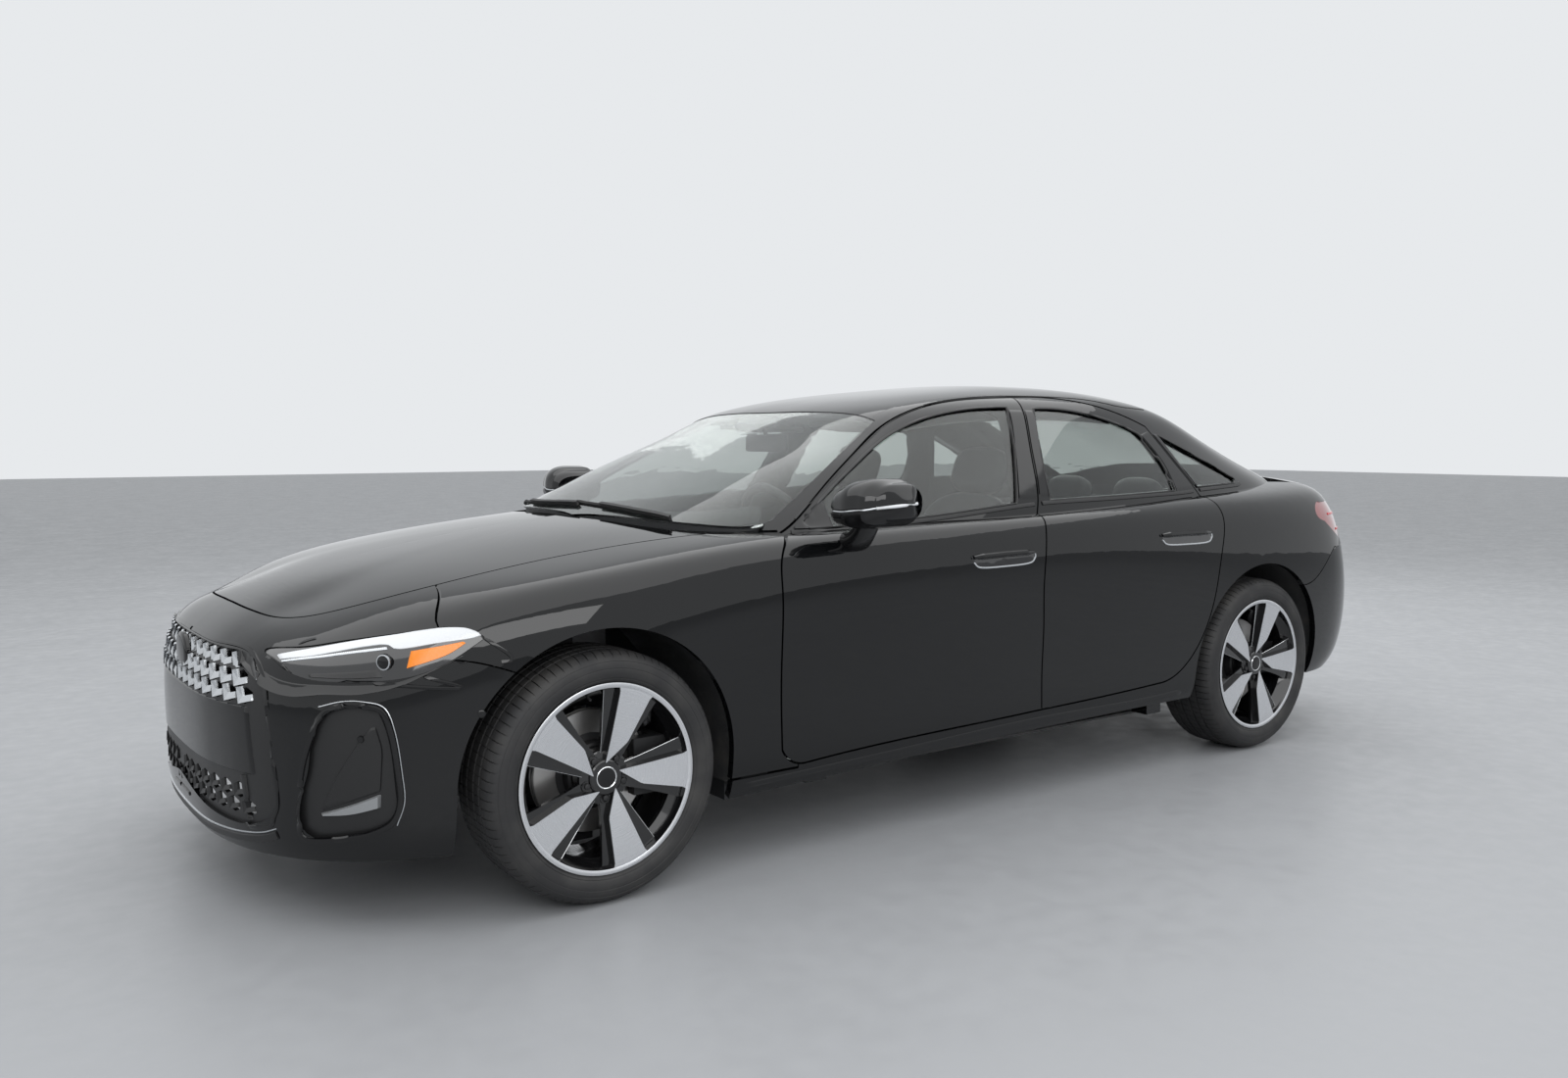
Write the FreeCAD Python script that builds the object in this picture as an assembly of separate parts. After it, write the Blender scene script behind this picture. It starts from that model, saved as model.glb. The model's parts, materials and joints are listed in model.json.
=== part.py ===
# Four-door car body with running gear, doors, lids and cabin.
# X runs rearwards, Y to the car's right, Z up. The origin is on the ground under the middle of the car.
import FreeCAD, Part
import math
import os

Vec = FreeCAD.Vector

# overall sizes
body_length = 4829.0
body_width = 1860.0
body_height = 1444.0
wheelbase = 2895.0
front_overhang = 880.0
front_axle_x = -body_length / 2 + front_overhang
rear_axle_x = front_axle_x + wheelbase

# panels
panel_gap = 6.0
seam_gap = 4.0
seat_gap = 0.3
skin_depth = 24.0
overlap = 5.0
door_depth = 96.0
door_step = 22.0
frame_depth = 30.0
pillar_gap = 9.0
pillar_depth = 46.0
rail_depth = 46.0
roof_depth = 20.0
glass_thickness = 5.0
glass_inset = 2.0
lid_depth = 22.0

# wheels and tyres
tyre_radius = 339.3
tyre_width = 245.0
bead_radius = 243.0
rim_lip_radius = 257.0
rim_wall = 9.0
track_half = 792.5
hub_radius = 74.0
spindle_radius = 28.0
running_clearance = 0.05
lug_circle = 112.0
lug_count = 5
lug_hole_radius = 7.5
spoke_count = 5
disc_radius = 170.0
disc_thickness = 26.0
kingpin_y = 700.0
kingpin_radius = 12.0
arch_radius = 397.0
arch_centre_z = 345.0
liner_clearance = 14.0
liner_wall = 4.0
liner_inner_y = 470.0

# the tables below are drawn for a body of these sizes, and are stretched to the sizes above
drawn_length = 4829.0
drawn_width = 1860.0
drawn_height = 1444.0


def sx(x):
    return x * body_length / drawn_length


def sy(y):
    return y * body_width / drawn_width


def sz(z):
    return z * body_height / drawn_height


# nose and tail on the centre line, from the lower lip up to the hood and the deck: (x, z)
nose = [(-2385, 182), (-2404, 232), (-2410, 330), (-2414, 440), (-2414, 550), (-2402, 640), (-2362, 712),
        (-2290, 768), (-2180, 812), (-2010, 862), (-1760, 915), (-1480, 956), (-1290, 975)]
tail = [(2290, 262), (2345, 300), (2385, 370), (2410, 470), (2412, 580), (2385, 690), (2345, 800),
        (2310, 900), (2262, 1010), (2222, 1062), (2150, 1068), (2050, 1076), (1900, 1092)]
# half width and height of each row at stations along the side
stations = [-2200, -1850, -1534, -1000, -400, 200, 800, 1360, 1850, 2200]
side_width = [
    [858, 866, 868, 866, 866, 868, 872, 876, 862, 835],
    [880, 890, 893, 890, 889, 889, 892, 896, 885, 860],
    [886, 900, 905, 898, 894, 894, 899, 909, 900, 878],
    [888, 905, 917, 901, 895, 895, 905, 921, 910, 888],
    [886, 908, 925, 907, 901, 901, 913, 930, 916, 890],
    [880, 908, 928, 915, 910, 910, 920, 930, 915, 884],
    [868, 902, 924, 919, 917, 917, 922, 927, 908, 872],
    [845, 886, 906, 912, 914, 914, 914, 913, 890, 850],
    [800, 850, 868, 888, 895, 895, 890, 884, 855, 815],
    [735, 785, 805, 835, 850, 850, 838, 826, 795, 750],
    [560, 600, 615, 640, 655, 655, 640, 620, 590, 550],
    [300, 310, 315, 320, 330, 330, 320, 310, 290, 270],
    [0, 0, 0, 0, 0, 0, 0, 0, 0, 0]]
side_height = [
    [185, 190, 200, 212, 228, 240, 247, 250, 255, 262],
    [235, 243, 250, 258, 268, 275, 280, 285, 292, 300],
    [330, 335, 340, 345, 350, 355, 360, 365, 370, 372],
    [440, 448, 452, 455, 458, 460, 465, 470, 474, 475],
    [545, 555, 562, 568, 572, 576, 582, 590, 592, 590],
    [630, 648, 660, 672, 680, 688, 694, 702, 704, 700],
    [695, 725, 748, 768, 780, 792, 800, 806, 808, 803],
    [738, 788, 822, 850, 866, 880, 892, 898, 900, 892],
    [765, 830, 872, 918, 938, 953, 966, 968, 972, 975]]
# height of the hood and deck on the centre line, and their fall at the shoulder
top_centre = [(-2300, 768), (-2180, 812), (-2010, 862), (-1760, 915), (-1480, 956), (-1200, 983),
              (-900, 1000),
              (0, 1010), (900, 1040), (1500, 1080), (1900, 1092), (2050, 1076), (2150, 1068), (2300, 1055)]
top_fall = [(-2300, 40), (-1850, 62), (-1534, 62), (-1000, 46), (0, 30), (900, 30), (1500, 62), (1900, 70),
            (2200, 60)]
shoulder_y = 830.0
shoulder_power = 2.2
lower_front_x = [-1500.0] * 9 + [-1480.0, -1400.0, -1200.0, -1050.0]
lower_rear_x = 1700.0
lower_steps = (12, 18, 10)
lower_power = (2.85, 2.8)

# windscreen and backlight on the centre line, from the belt up to the roof: (x, z)
screen_line = [(-1290, 925), (-1205, 978), (-1010, 1066), (-800, 1160), (-600, 1248), (-440, 1316),
               (-310, 1354),
               (-120, 1388), (150, 1420)]
back_line = [(2080, 1020), (2010, 1075), (1880, 1150), (1720, 1212), (1540, 1275), (1350, 1335), (1180, 1378),
             (960, 1418), (650, 1441)]
upper_stations = [-1000, -700, -300, 200, 700, 1100, 1450, 1800]
upper_width = [
    [815, 832, 845, 848, 838, 815, 780, 735],
    [790, 808, 822, 826, 815, 790, 752, 705],
    [735, 754, 771, 777, 763, 738, 702, 655],
    [680, 700, 719, 726, 711, 688, 655, 610],
    [630, 648, 668, 676, 660, 640, 610, 565],
    [580, 596, 617, 626, 612, 592, 562, 520],
    [500, 510, 530, 545, 530, 505, 470, 430],
    [300, 310, 330, 340, 325, 305, 280, 250],
    [0, 0, 0, 0, 0, 0, 0, 0]]
upper_height = [
    [930, 935, 945, 955, 965, 975, 985, 990],
    [985, 990, 1000, 1010, 1022, 1032, 1040, 1050],
    [1070, 1078, 1092, 1105, 1112, 1112, 1105, 1090],
    [1150, 1160, 1182, 1200, 1205, 1190, 1165, 1130],
    [1180, 1205, 1250, 1283, 1290, 1268, 1220, 1165],
    [1230, 1265, 1322, 1358, 1362, 1335, 1275, 1200],
    [1270, 1300, 1352, 1394, 1400, 1372, 1308, 1225]]
roof_centre = [(-1205, 978), (-440, 1316), (-310, 1354), (-120, 1388), (150, 1420), (450, 1442), (650, 1441),
               (960, 1418), (1180, 1378), (1350, 1335), (1540, 1275), (1720, 1212), (1880, 1150)]
roof_fall = 46.0
roof_rail_y = 545.0
screen_corner = [-640, -620, -500, -380, -250, -130, 0, 100, 200]
back_corner = [1250, 1230, 1150, 1080, 1000, 900, 800, 650, 450]
upper_steps = (10, 8, 10)
upper_power = (3.0, 3.6)


# smooth curve through (position, value) pairs, with no overshoot
def curve(pairs, x):
    if x <= pairs[0][0]:
        return pairs[0][1]
    if x >= pairs[-1][0]:
        return pairs[-1][1]
    last = len(pairs) - 1
    i = max(k for k in range(last) if pairs[k][0] <= x)

    def step(k):
        return (pairs[k + 1][1] - pairs[k][1]) / (pairs[k + 1][0] - pairs[k][0])

    def slope(k):
        if k == 0:
            return step(0)
        if k == last:
            return step(last - 1)
        before = step(k - 1)
        after = step(k)
        if before * after <= 0:
            return 0.0
        return 2 * before * after / (before + after)

    span = pairs[i + 1][0] - pairs[i][0]
    t = (x - pairs[i][0]) / span
    start = (2 * t**3 - 3 * t**2 + 1) * pairs[i][1] + (t**3 - 2 * t**2 + t) * slope(i) * span
    end = (3 * t**2 - 2 * t**3) * pairs[i + 1][1] + (t**3 - t**2) * slope(i + 1) * span
    return start + end


# one ring of a net: round the front corner, along the side and round the rear corner.
# It gives x and the share of the half width.
def ring(front_x, rear_x, front_corner, rear_corner, steps, power):
    points = []
    front, side, rear = steps
    for k in range(front + side + rear + 1):
        if k <= front:
            turn = math.pi / 2 * k / front
            x = front_corner - (front_corner - front_x) * abs(math.cos(turn)) ** (2 / power[0])
            share = math.sin(turn) ** (2 / power[0])
        elif k <= front + side:
            x = front_corner + (rear_corner - front_corner) * (k - front) / side
            share = 1.0
        else:
            turn = math.pi / 2 * (1 - (k - front - side) / rear)
            x = rear_corner + (rear_x - rear_corner) * abs(math.cos(turn)) ** (2 / power[1])
            share = math.sin(turn) ** (2 / power[1])
        points.append((x, share))
    return points


# the ends of a ring meet the centre line square on, so that the two halves join smoothly
def square_ends(row):
    row[1] = (row[0][0], row[1][1], row[0][2])
    row[-2] = (row[-1][0], row[-2][1], row[-1][2])
    return row


def lower_net():
    net = []
    for j, ((front_x, front_z), (rear_x, rear_z)) in enumerate(zip(nose, tail)):
        row = []
        for x, share in ring(front_x, rear_x, lower_front_x[j], lower_rear_x, lower_steps, lower_power):
            y = curve(list(zip(stations, side_width[j])), x) * share
            if j < len(side_height):
                z = curve(list(zip([front_x] + stations + [rear_x],
                               [front_z] + side_height[j] + [rear_z])), x)
            elif j == len(nose) - 2:
                z = curve(top_centre, x)
            else:
                z = curve(top_centre, x) - curve(top_fall, x) * (y / shoulder_y) ** shoulder_power
            row.append((x, y, z))
        net.append(square_ends(row) if j < len(nose) - 1 else row)
    return net


def upper_net():
    net = []
    for j, ((front_x, front_z), (rear_x, rear_z)) in enumerate(zip(screen_line, back_line)):
        row = []
        for x, share in ring(front_x, rear_x, screen_corner[j], back_corner[j], upper_steps, upper_power):
            y = curve(list(zip(upper_stations, upper_width[j])), x) * share
            if j < len(upper_height):
                end_z = front_z if x < 0 else rear_z
                side_z = curve(list(zip(upper_stations, upper_height[j])), x)
                z = side_z * share**1.5 + end_z * (1 - share**1.5)
            elif j == len(screen_line) - 2:
                z = curve(roof_centre, x)
            else:
                z = curve(roof_centre, x) - roof_fall * (y / roof_rail_y) ** 2
            row.append((x, y, z))
        net.append(square_ends(row) if j < len(screen_line) - 1 else row)
    return net


# poles of the left half, in the car's own sizes
def poles(net):
    return [[Vec(sx(x), -sy(y), sz(z)) for x, y, z in row] for row in net]


# the same poles moved inwards along the surface normal
def sunk(grid, depth):
    rows = len(grid)
    cols = len(grid[0])
    moved = []
    for i in range(rows):
        line = []
        for k in range(cols):
            across = grid[min(i + 1, rows - 1)][k] - grid[max(i - 1, 0)][k]
            along = grid[i][min(k + 1, cols - 1)] - grid[i][max(k - 1, 0)]
            if i == rows - 1:
                across = Vec(0, 1, 0)
            elif k == 0:
                along = Vec(0, -1, 0)
            elif k == cols - 1:
                along = Vec(0, 1, 0)
            normal = along.cross(across)
            normal.normalize()
            line.append(grid[i][k] - normal * depth)
        moved.append(line)
    return moved


def spline_face(grid):
    rows = len(grid)
    cols = len(grid[0])

    def knots(count):
        spans = count - 3
        return [4] + [1] * (spans - 1) + [4], [i / spans for i in range(spans + 1)]

    u_mults, u_knots = knots(rows)
    v_mults, v_knots = knots(cols)
    surface = Part.BSplineSurface()
    surface.buildFromPolesMultsKnots(grid, u_mults, v_mults, u_knots, v_knots, False, False, 3, 3)
    return surface


# parameter at which pole number k has most pull
def pole_parameter(k, count):
    spans = count - 3
    knot = [0.0] * 4 + [i / spans for i in range(1, spans)] + [1.0] * 4
    return sum(knot[k + 1:k + 4]) / 3


def closed_solid(faces):
    shell = Part.makeShell(faces)
    shell.sewShape()
    solid = Part.Solid(shell)
    if solid.Volume < 0:
        solid.reverse()
    return solid


lower_poles = poles(lower_net())
upper_poles = poles(upper_net())


# the same poles moved straight inboard, for thick walls under tight curves
def shifted(grid, depth):
    return [[point + Vec(0, depth, 0) for point in row] for row in grid]


# solid between two depths under a net, kept between two stations along the car and two rows
def slab(grid, outer, inner, x_low, x_high, row_low=0, row_high=None, move=sunk):
    rows = len(grid)
    cols = len(grid[0])
    row_high = rows - 1 if row_high is None else row_high
    used = grid[row_low:row_high + 1]
    first = min(max([k for k in range(cols) if row[k].x < sx(x_low) - 40] + [0]) for row in used)
    last = max(min([k for k in range(cols) if row[k].x > sx(x_high) + 40] + [cols - 1]) for row in used)
    u_low = pole_parameter(row_low, rows)
    u_high = pole_parameter(row_high, rows)
    v_low = pole_parameter(first, cols)
    v_high = pole_parameter(last, cols)
    skins = []
    for depth in (outer, inner):
        surface = spline_face(move(grid, depth))
        surface.segment(u_low, u_high, v_low, v_high)
        skins.append(surface)
    top, bottom = skins
    edges = []
    for surface in skins:
        edges.append([surface.uIso(u_low).toShape(), surface.uIso(u_high).toShape(),
                      surface.vIso(v_low).toShape(), surface.vIso(v_high).toShape()])
    sides = [Part.makeRuledSurface(a, b) for a, b in zip(*edges)]
    return closed_solid([top.toShape(), bottom.toShape()] + sides)


# an outline is a list of runs: each starts where the last one ended, and is straight if it has one point
def outline_wire(runs, to_point):
    edges = []
    start = runs[-1][-1]
    for run in runs:
        points = [to_point(*p) for p in [start] + run]
        if len(points) == 2:
            edges.append(Part.LineSegment(points[0], points[1]).toShape())
        else:
            spline = Part.BSplineCurve()
            spline.interpolate(points)
            edges.append(spline.toShape())
        start = run[-1]
    return Part.Wire(edges)


# the outline moved outwards, or inwards when negative.
# Its points run clockwise as seen with x to the right and z or y up
def grown(runs, distance):
    flat = [p for run in runs for p in run]
    count = len(flat)
    moved = []
    for i, (x, z) in enumerate(flat):
        before = Vec(x - flat[i - 1][0], z - flat[i - 1][1], 0)
        after = Vec(flat[(i + 1) % count][0] - x, flat[(i + 1) % count][1] - z, 0)
        before.normalize()
        after.normalize()
        out = Vec(-before.y - after.y, before.x + after.x, 0)
        out.normalize()
        reach = distance / max(0.5, out.dot(Vec(-before.y, before.x, 0)))
        moved.append((x + out.x * reach, z + out.y * reach))
    result = []
    at = 0
    for run in runs:
        result.append(moved[at:at + len(run)])
        at += len(run)
    return result


# prism of a side outline, from the middle out to the left
def side_prism(runs, y_near=0.0, y_far=-1100.0):
    wire = outline_wire(runs, lambda x, z: Vec(sx(x), y_near, sz(z)))
    return Part.Face(wire).extrude(Vec(0, y_far - y_near, 0))


# prism of a plan outline
def plan_prism(runs, z_low=0.0, z_high=1600.0):
    wire = outline_wire(runs, lambda x, y: Vec(sx(x), sy(y), z_low))
    return Part.Face(wire).extrude(Vec(0, 0, z_high - z_low))


def block(x_low, x_high, y_low, y_high, z_low, z_high):
    return Part.makeBox(x_high - x_low, y_high - y_low, z_high - z_low, Vec(x_low, y_low, z_low))


def cylinder_y(radius, x, z, y_low, y_high):
    return Part.makeCylinder(radius, y_high - y_low, Vec(x, y_low, z), Vec(0, 1, 0))


def cylinder_z(radius, x, y, z_low, z_high):
    return Part.makeCylinder(radius, z_high - z_low, Vec(x, y, z_low), Vec(0, 0, 1))


def rod(radius, start, end):
    return Part.makeCylinder(radius, (end - start).Length, start, end - start)


# solid turned about an axis along Y from an outline of (radius, y)
def turned(runs, x, z):
    wire = outline_wire(runs, lambda radius, y: Vec(x + radius, y, z))
    return Part.Face(wire).revolve(Vec(x, 0, z), Vec(0, 1, 0), 360)


# prism of a side outline between two widths, in the car's own millimetres
def side_bar(runs, y_low, y_high):
    wire = outline_wire(runs, lambda x, z: Vec(x, y_low, z))
    return Part.Face(wire).extrude(Vec(0, y_high - y_low, 0))


def mirrored(shape):
    return shape.mirror(Vec(0, 0, 0), Vec(0, 1, 0))


def joined(shapes):
    result = shapes[0]
    for shape in shapes[1:]:
        result = result.fuse(shape)
    return result


# both halves of a panel that crosses the centre line, as one solid
def both_halves(half):
    return half.fuse(mirrored(half)).removeSplitter()


finished = []


def save(name, shape):
    solids = shape.Solids
    good = shape.isValid()
    print(name, "solids", len(solids), "valid", good, "litres", round(shape.Volume / 1e6, 2))
    if len(solids) == 1:
        shape = solids[0]
    else:
        shape = Part.makeCompound(solids)
    shape.exportStep("parts/" + name + ".step")
    finished.append(name)


os.makedirs("parts", exist_ok=True)

# side outlines of the left doors (x, z), clockwise from the lower front corner
front_line = [(-972, 420), (-978, 600), (-979, 800), (-968, 890), (-930, 935)]
frame_front = [(-886, 958), (-798, 1012), (-631, 1122), (-466, 1217), (-337, 1284)]
frame_top = [(-337, 1284), (-230, 1323), (-121, 1348), (121, 1374), (300, 1381)]
middle_line = [(296, 1381), (262, 1290), (222, 1180), (168, 1014), (136, 955), (114, 864), (106, 733),
               (118, 599),
               (121, 429), (128, 310)]
front_door = [front_line + frame_front + frame_top[1:-1] + [(296, 1381)], middle_line[1:],
              [(-164, 303), (-585, 294), (-880, 279)], [(-930, 292), (-966, 330)]]
front_box = [front_line[:4] + [(-950, 915)], [(138, 965)], middle_line[5:], [(-164, 303), (-585, 294),
                                                                             (-880, 279)],
             [(-930, 292), (-966, 330)]]
rear_door = [middle_line[-2::-1], [(400, 1384), (669, 1362), (830, 1322), (950, 1278)],
             [(1015, 1165), (1085, 1040)],
             [(1108, 930), (1076, 813), (1046, 669), (1001, 523), (925, 410), (843, 351), (768, 331)],
             [(407, 316), (128, 310)]]
rear_box = [[(118, 599), (106, 733), (114, 864), (134, 945)], [(1090, 1005)], [(1108, 930), (1076, 813),
                                                                               (1046, 669),
            (1001, 523), (925, 410), (843, 351), (768, 331)], [(407, 316), (128, 310)]]
# side outlines of the window openings in the doors and of the quarter glass
front_window = [[(-820, 980)], [(-726, 1044), (-550, 1150), (-369, 1243), (-251, 1286), (-134, 1314),
                                (29, 1336),
                (208, 1343)], [(150, 1200), (66, 1014)], [(-331, 985), (-720, 966), (-800, 964)]]
rear_window = [[(232, 1020)], [(270, 1180), (338, 1341)], [(480, 1340), (620, 1324), (760, 1292),
                                                           (876, 1252)],
               [(945, 1140), (950, 1034)], [(600, 1026)]]
quarter_window = [[(1105, 1045)], [(1000, 1246)], [(1129, 1196), (1316, 1118), (1405, 1076)], [(1420, 1064)],
                  [(1395, 1052)]]

# plan outlines of the windscreen, roof, backlight and lids, for the left half (x, y)
screen_base = [(-1187, 0), (-1159, -336), (-1096, -587), (-1000, -712), (-905, -752)]
screen_side = [(-905, -752), (-759, -715), (-608, -666), (-432, -602), (-358, -578)]
screen_top = [(-358, -578), (-372, -359), (-392, -130), (-396, 0)]
roof_side = [(-340, -546), (-100, -540), (300, -543), (700, -538), (1036, -520)]
roof_rear = [(1036, -520), (1064, -300), (1072, 0)]
tailgate_side = [(1036, -520), (1200, -556), (1500, -604), (1800, -656), (1960, -690), (2120, -714),
                 (2450, -722)]
backlight_top = [(1104, 0), (1096, -290), (1074, -462)]
backlight_side = [(1074, -462), (1250, -508), (1500, -544), (1760, -580), (1884, -590)]
backlight_base = [(1884, -590), (1925, -300), (1938, 0)]
hood_front = [(-2266, 0), (-2264, -130), (-2247, -285), (-2211, -387), (-2165, -452), (-2117, -499),
              (-2015, -575),
              (-1891, -625), (-1748, -642), (-1575, -646), (-1366, -655), (-1156, -682), (-1010, -722)]
hood_rear = [(-1010, -722), (-1072, -668), (-1145, -560), (-1203, -336), (-1230, 0)]

# side outlines of the lamps, seams and intakes (x, z)
headlamp = [[(-2288, 696), (-2235, 713), (-2160, 728), (-2066, 747), (-1965, 764), (-1906, 767), (-1874, 757),
             (-1855, 739)], [(-1890, 716), (-1937, 687), (-2003, 658), (-2065, 645), (-2144, 641),
                             (-2217, 642),
             (-2251, 653), (-2280, 684)]]
nose_seam = [(-1500, 600), (-1790, 650), (-1878, 680), (-1950, 690)]
nose_seam_top = [(-1951, 780), (-1931, 812), (-1894, 846), (-1886, 960)]
tail_seam = [(1600, 642), (1731, 665), (1811, 720), (1895, 778)]
fender_region = [nose_seam[1:], nose_seam_top[:1], nose_seam_top[1:], [(-903, 1080)], [(-903, 271)],
                 [(-1300, 271)],
                 nose_seam[:1]]
nose_region = [[(-2500, 100)], [(-2500, 960)], nose_seam_top[-1:], nose_seam_top[-2::-1], nose_seam[-1:],
               nose_seam[-2::-1], [(-1500, 100)]]
side_region = [[(-1136, 120)], [(-1136, 267)], [(-903, 267)], [(-903, 345)], [(700, 345)], [(700, 1200)],
               [(2500, 1200)], [(2500, 778)], tail_seam[-1:], tail_seam[-2::-1], [(1450, 600)], [(1200, 120)]]
tail_region = [[(1450, 100)], [(1450, 600)], tail_seam[:1], tail_seam[1:], [(2500, 778)], [(2500, 100)]]
tail_lamp = [[(1776, 937), (1800, 958), (1850, 966)], [(2500, 966)], [(2500, 852)], [(1892, 852),
                                                                                     (1830, 890)]]
upper_region = [[(-1085, 880)], [(-1085, 945)], [(-958, 945)], [(-930, 975)], [(-930, 1500)], [(2200, 1500)],
                [(2200, 880)]]
cowl_room = [[(-1300, 0)], [(-1100, -640), (-1012, -726)], [(-905, -748)], [(-905, 0)]]
intake = [[(-2242, 262), (-2238, 420), (-2226, 522), (-2204, 566), (-2168, 583)], [(-2130, 583),
                                                                                   (-2096, 570)],
          [(-2078, 512), (-2066, 417), (-2060, 344)], [(-2074, 296), (-2110, 270)], [(-2150, 254),
                                                                                     (-2215, 244)]]

# front outlines (y, z) of the grille mouth
grille_mouth = [[(0, 270)], [(-500, 262), (-572, 300), (-584, 381)], [(-556, 594), (-520, 650), (-430, 690)],
                [(-240, 693), (0, 694)]]
# rows of grille cells: height, first cell's distance from the middle, and how many
cell_rows = [(588, 32, 8), (628, 64, 7), (668, 32, 7), (300, 32, 8), (342, 64, 7)]
cell_pitch = 64.0
cell_wide = 52.0
cell_high = 43.0

# cabin
floor_z = 185.0
floor_wall = 8.0
bulkhead_x = -1085.0
heel_x = 960.0
boot_floor_z = 430.0
rear_panel_x = 2262.0
rear_panel_half = 500.0
heel_half = 630.0
tunnel_half = 130.0
tunnel_z = 330.0


# region of the arch over one wheel, on the left, open downwards
def arch_prism(axle_x, extra=0.0):
    reach = arch_radius + extra
    far = -body_width
    barrel = cylinder_y(reach, axle_x, arch_centre_z, far, -liner_inner_y)
    below = block(axle_x - reach, axle_x + reach, far, -liner_inner_y, 0, arch_centre_z)
    return joined([barrel, below])


def closed_plan(*lines):
    return [line[1:] for line in lines]


windscreen_plan = closed_plan(screen_base, screen_side, screen_top) + [[(-1187, 0)]]
roof_plan = [[(-396, 0)], screen_top[-2::-1], [roof_side[0]], roof_side[1:], roof_rear[1:]]
tailgate_plan = [roof_rear[-1:], roof_rear[-2::-1], tailgate_side[1:], [(2450, 0)]]
backlight_plan = [backlight_top[:1], backlight_top[1:], backlight_side[1:], backlight_base[1:]]
hood_plan = [hood_front[:1], hood_front[1:], hood_rear[1:]]


# plan outlines run the other way round, and keep their points on the centre line
def spread(runs, distance):
    moved = grown(runs, -distance)
    return [[(x, 0.0 if y0 == 0 else y) for (x, y), (_, y0) in zip(run, old)] for run, old in zip(moved,
                                                                                                  runs)]


# front outlines (y, z) also keep their points on the centre line
def front_prism(runs, distance, x_end=-1800.0):
    moved = grown(runs, distance)
    kept = [[(0.0 if y0 == 0 else y, z) for (y, z), (y0, _) in zip(run, old)] for run, old in zip(moved,
                                                                                                  runs)]
    wire = outline_wire(kept, lambda y, z: Vec(-body_length, sy(y), sz(z)))
    return Part.Face(wire).extrude(Vec(body_length + sx(x_end), 0, 0))


front_door_cut = side_prism(grown(front_door, panel_gap / 2))
rear_door_cut = side_prism(grown(rear_door, panel_gap / 2))
belt_inner = [(-1010, -780), (-700, -792), (-300, -806), (200, -810), (700, -798), (1150, -768)]
belt_clip = plan_prism([[(-1010, -1100)], belt_inner[:1], belt_inner[1:], [(1150, -1100)]])
box_inner = [(-1010, -735), (200, -745), (1150, -712)]
box_clip = plan_prism([[(-1010, -1100)], box_inner[:1], box_inner[1:], [(1150, -1100)]])


def door(outline, box_outline, window, x_low, x_high):
    skin = slab(lower_poles, 0, skin_depth, x_low, x_high, 0, 9)
    skin = skin.common(side_prism(grown(outline, -panel_gap / 2))).common(belt_clip)
    box = slab(lower_poles, skin_depth - overlap, door_depth, x_low, x_high, 0, 9, shifted)
    box = box.common(side_prism(grown(box_outline, -panel_gap / 2 - door_step))).common(box_clip)
    frame = slab(upper_poles, 0, frame_depth, x_low, x_high + 200, 0, 7)
    frame = frame.common(side_prism(grown(outline, -panel_gap / 2))).cut(side_prism(window))
    return joined([skin, box, frame.cut(plan_prism(spread(roof_plan, panel_gap), 900))])


def pane(window, x_low, x_high):
    sheet = slab(upper_poles, glass_inset + 4, glass_inset + 4 + glass_thickness, x_low, x_high, 0, 7)
    return sheet.common(side_prism(grown(window, -seat_gap)))


print("doors")
doors = {"front": door(front_door, front_box, front_window, -1000, 320),
         "rear": door(rear_door, rear_box, rear_window, 60, 1150)}
panes = {"front": pane(front_window, -900, 350), "rear": pane(rear_window, 150, 1100)}
for place in ("front", "rear"):
    save("door_" + place + "_left", doors[place])
    save("door_" + place + "_right", mirrored(doors[place]))
    save("glass_" + place + "_left", panes[place])
    save("glass_" + place + "_right", mirrored(panes[place]))

print("body side")
hood_cut = plan_prism(spread(hood_plan, panel_gap / 2), 600)
screen_cut = plan_prism(spread(windscreen_plan, seat_gap), 900)
roof_cut = plan_prism(spread(roof_plan, seat_gap), 900)
tailgate_cut = plan_prism(spread(tailgate_plan, panel_gap / 2), 500)
lamp_cut = side_prism(grown(headlamp, seat_gap), -450)
tail_lamp_cut = side_prism(grown(tail_lamp, seat_gap))
rear_arch = arch_prism(rear_axle_x)
front_arch = arch_prism(front_axle_x)


tongue_top = 925.0
flange_width = 18.0
flange_depth = 20.0
jack_z = 205.0
jack_pads = ((-850, 262), (740, 288))
jack_pad_length = 80.0
fender_room = slab(lower_poles, -seam_gap, skin_depth + seat_gap, -1250, -850, 6, 11)
fender_room = fender_room.common(side_prism(grown(fender_region, seam_gap / 2)))


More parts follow.
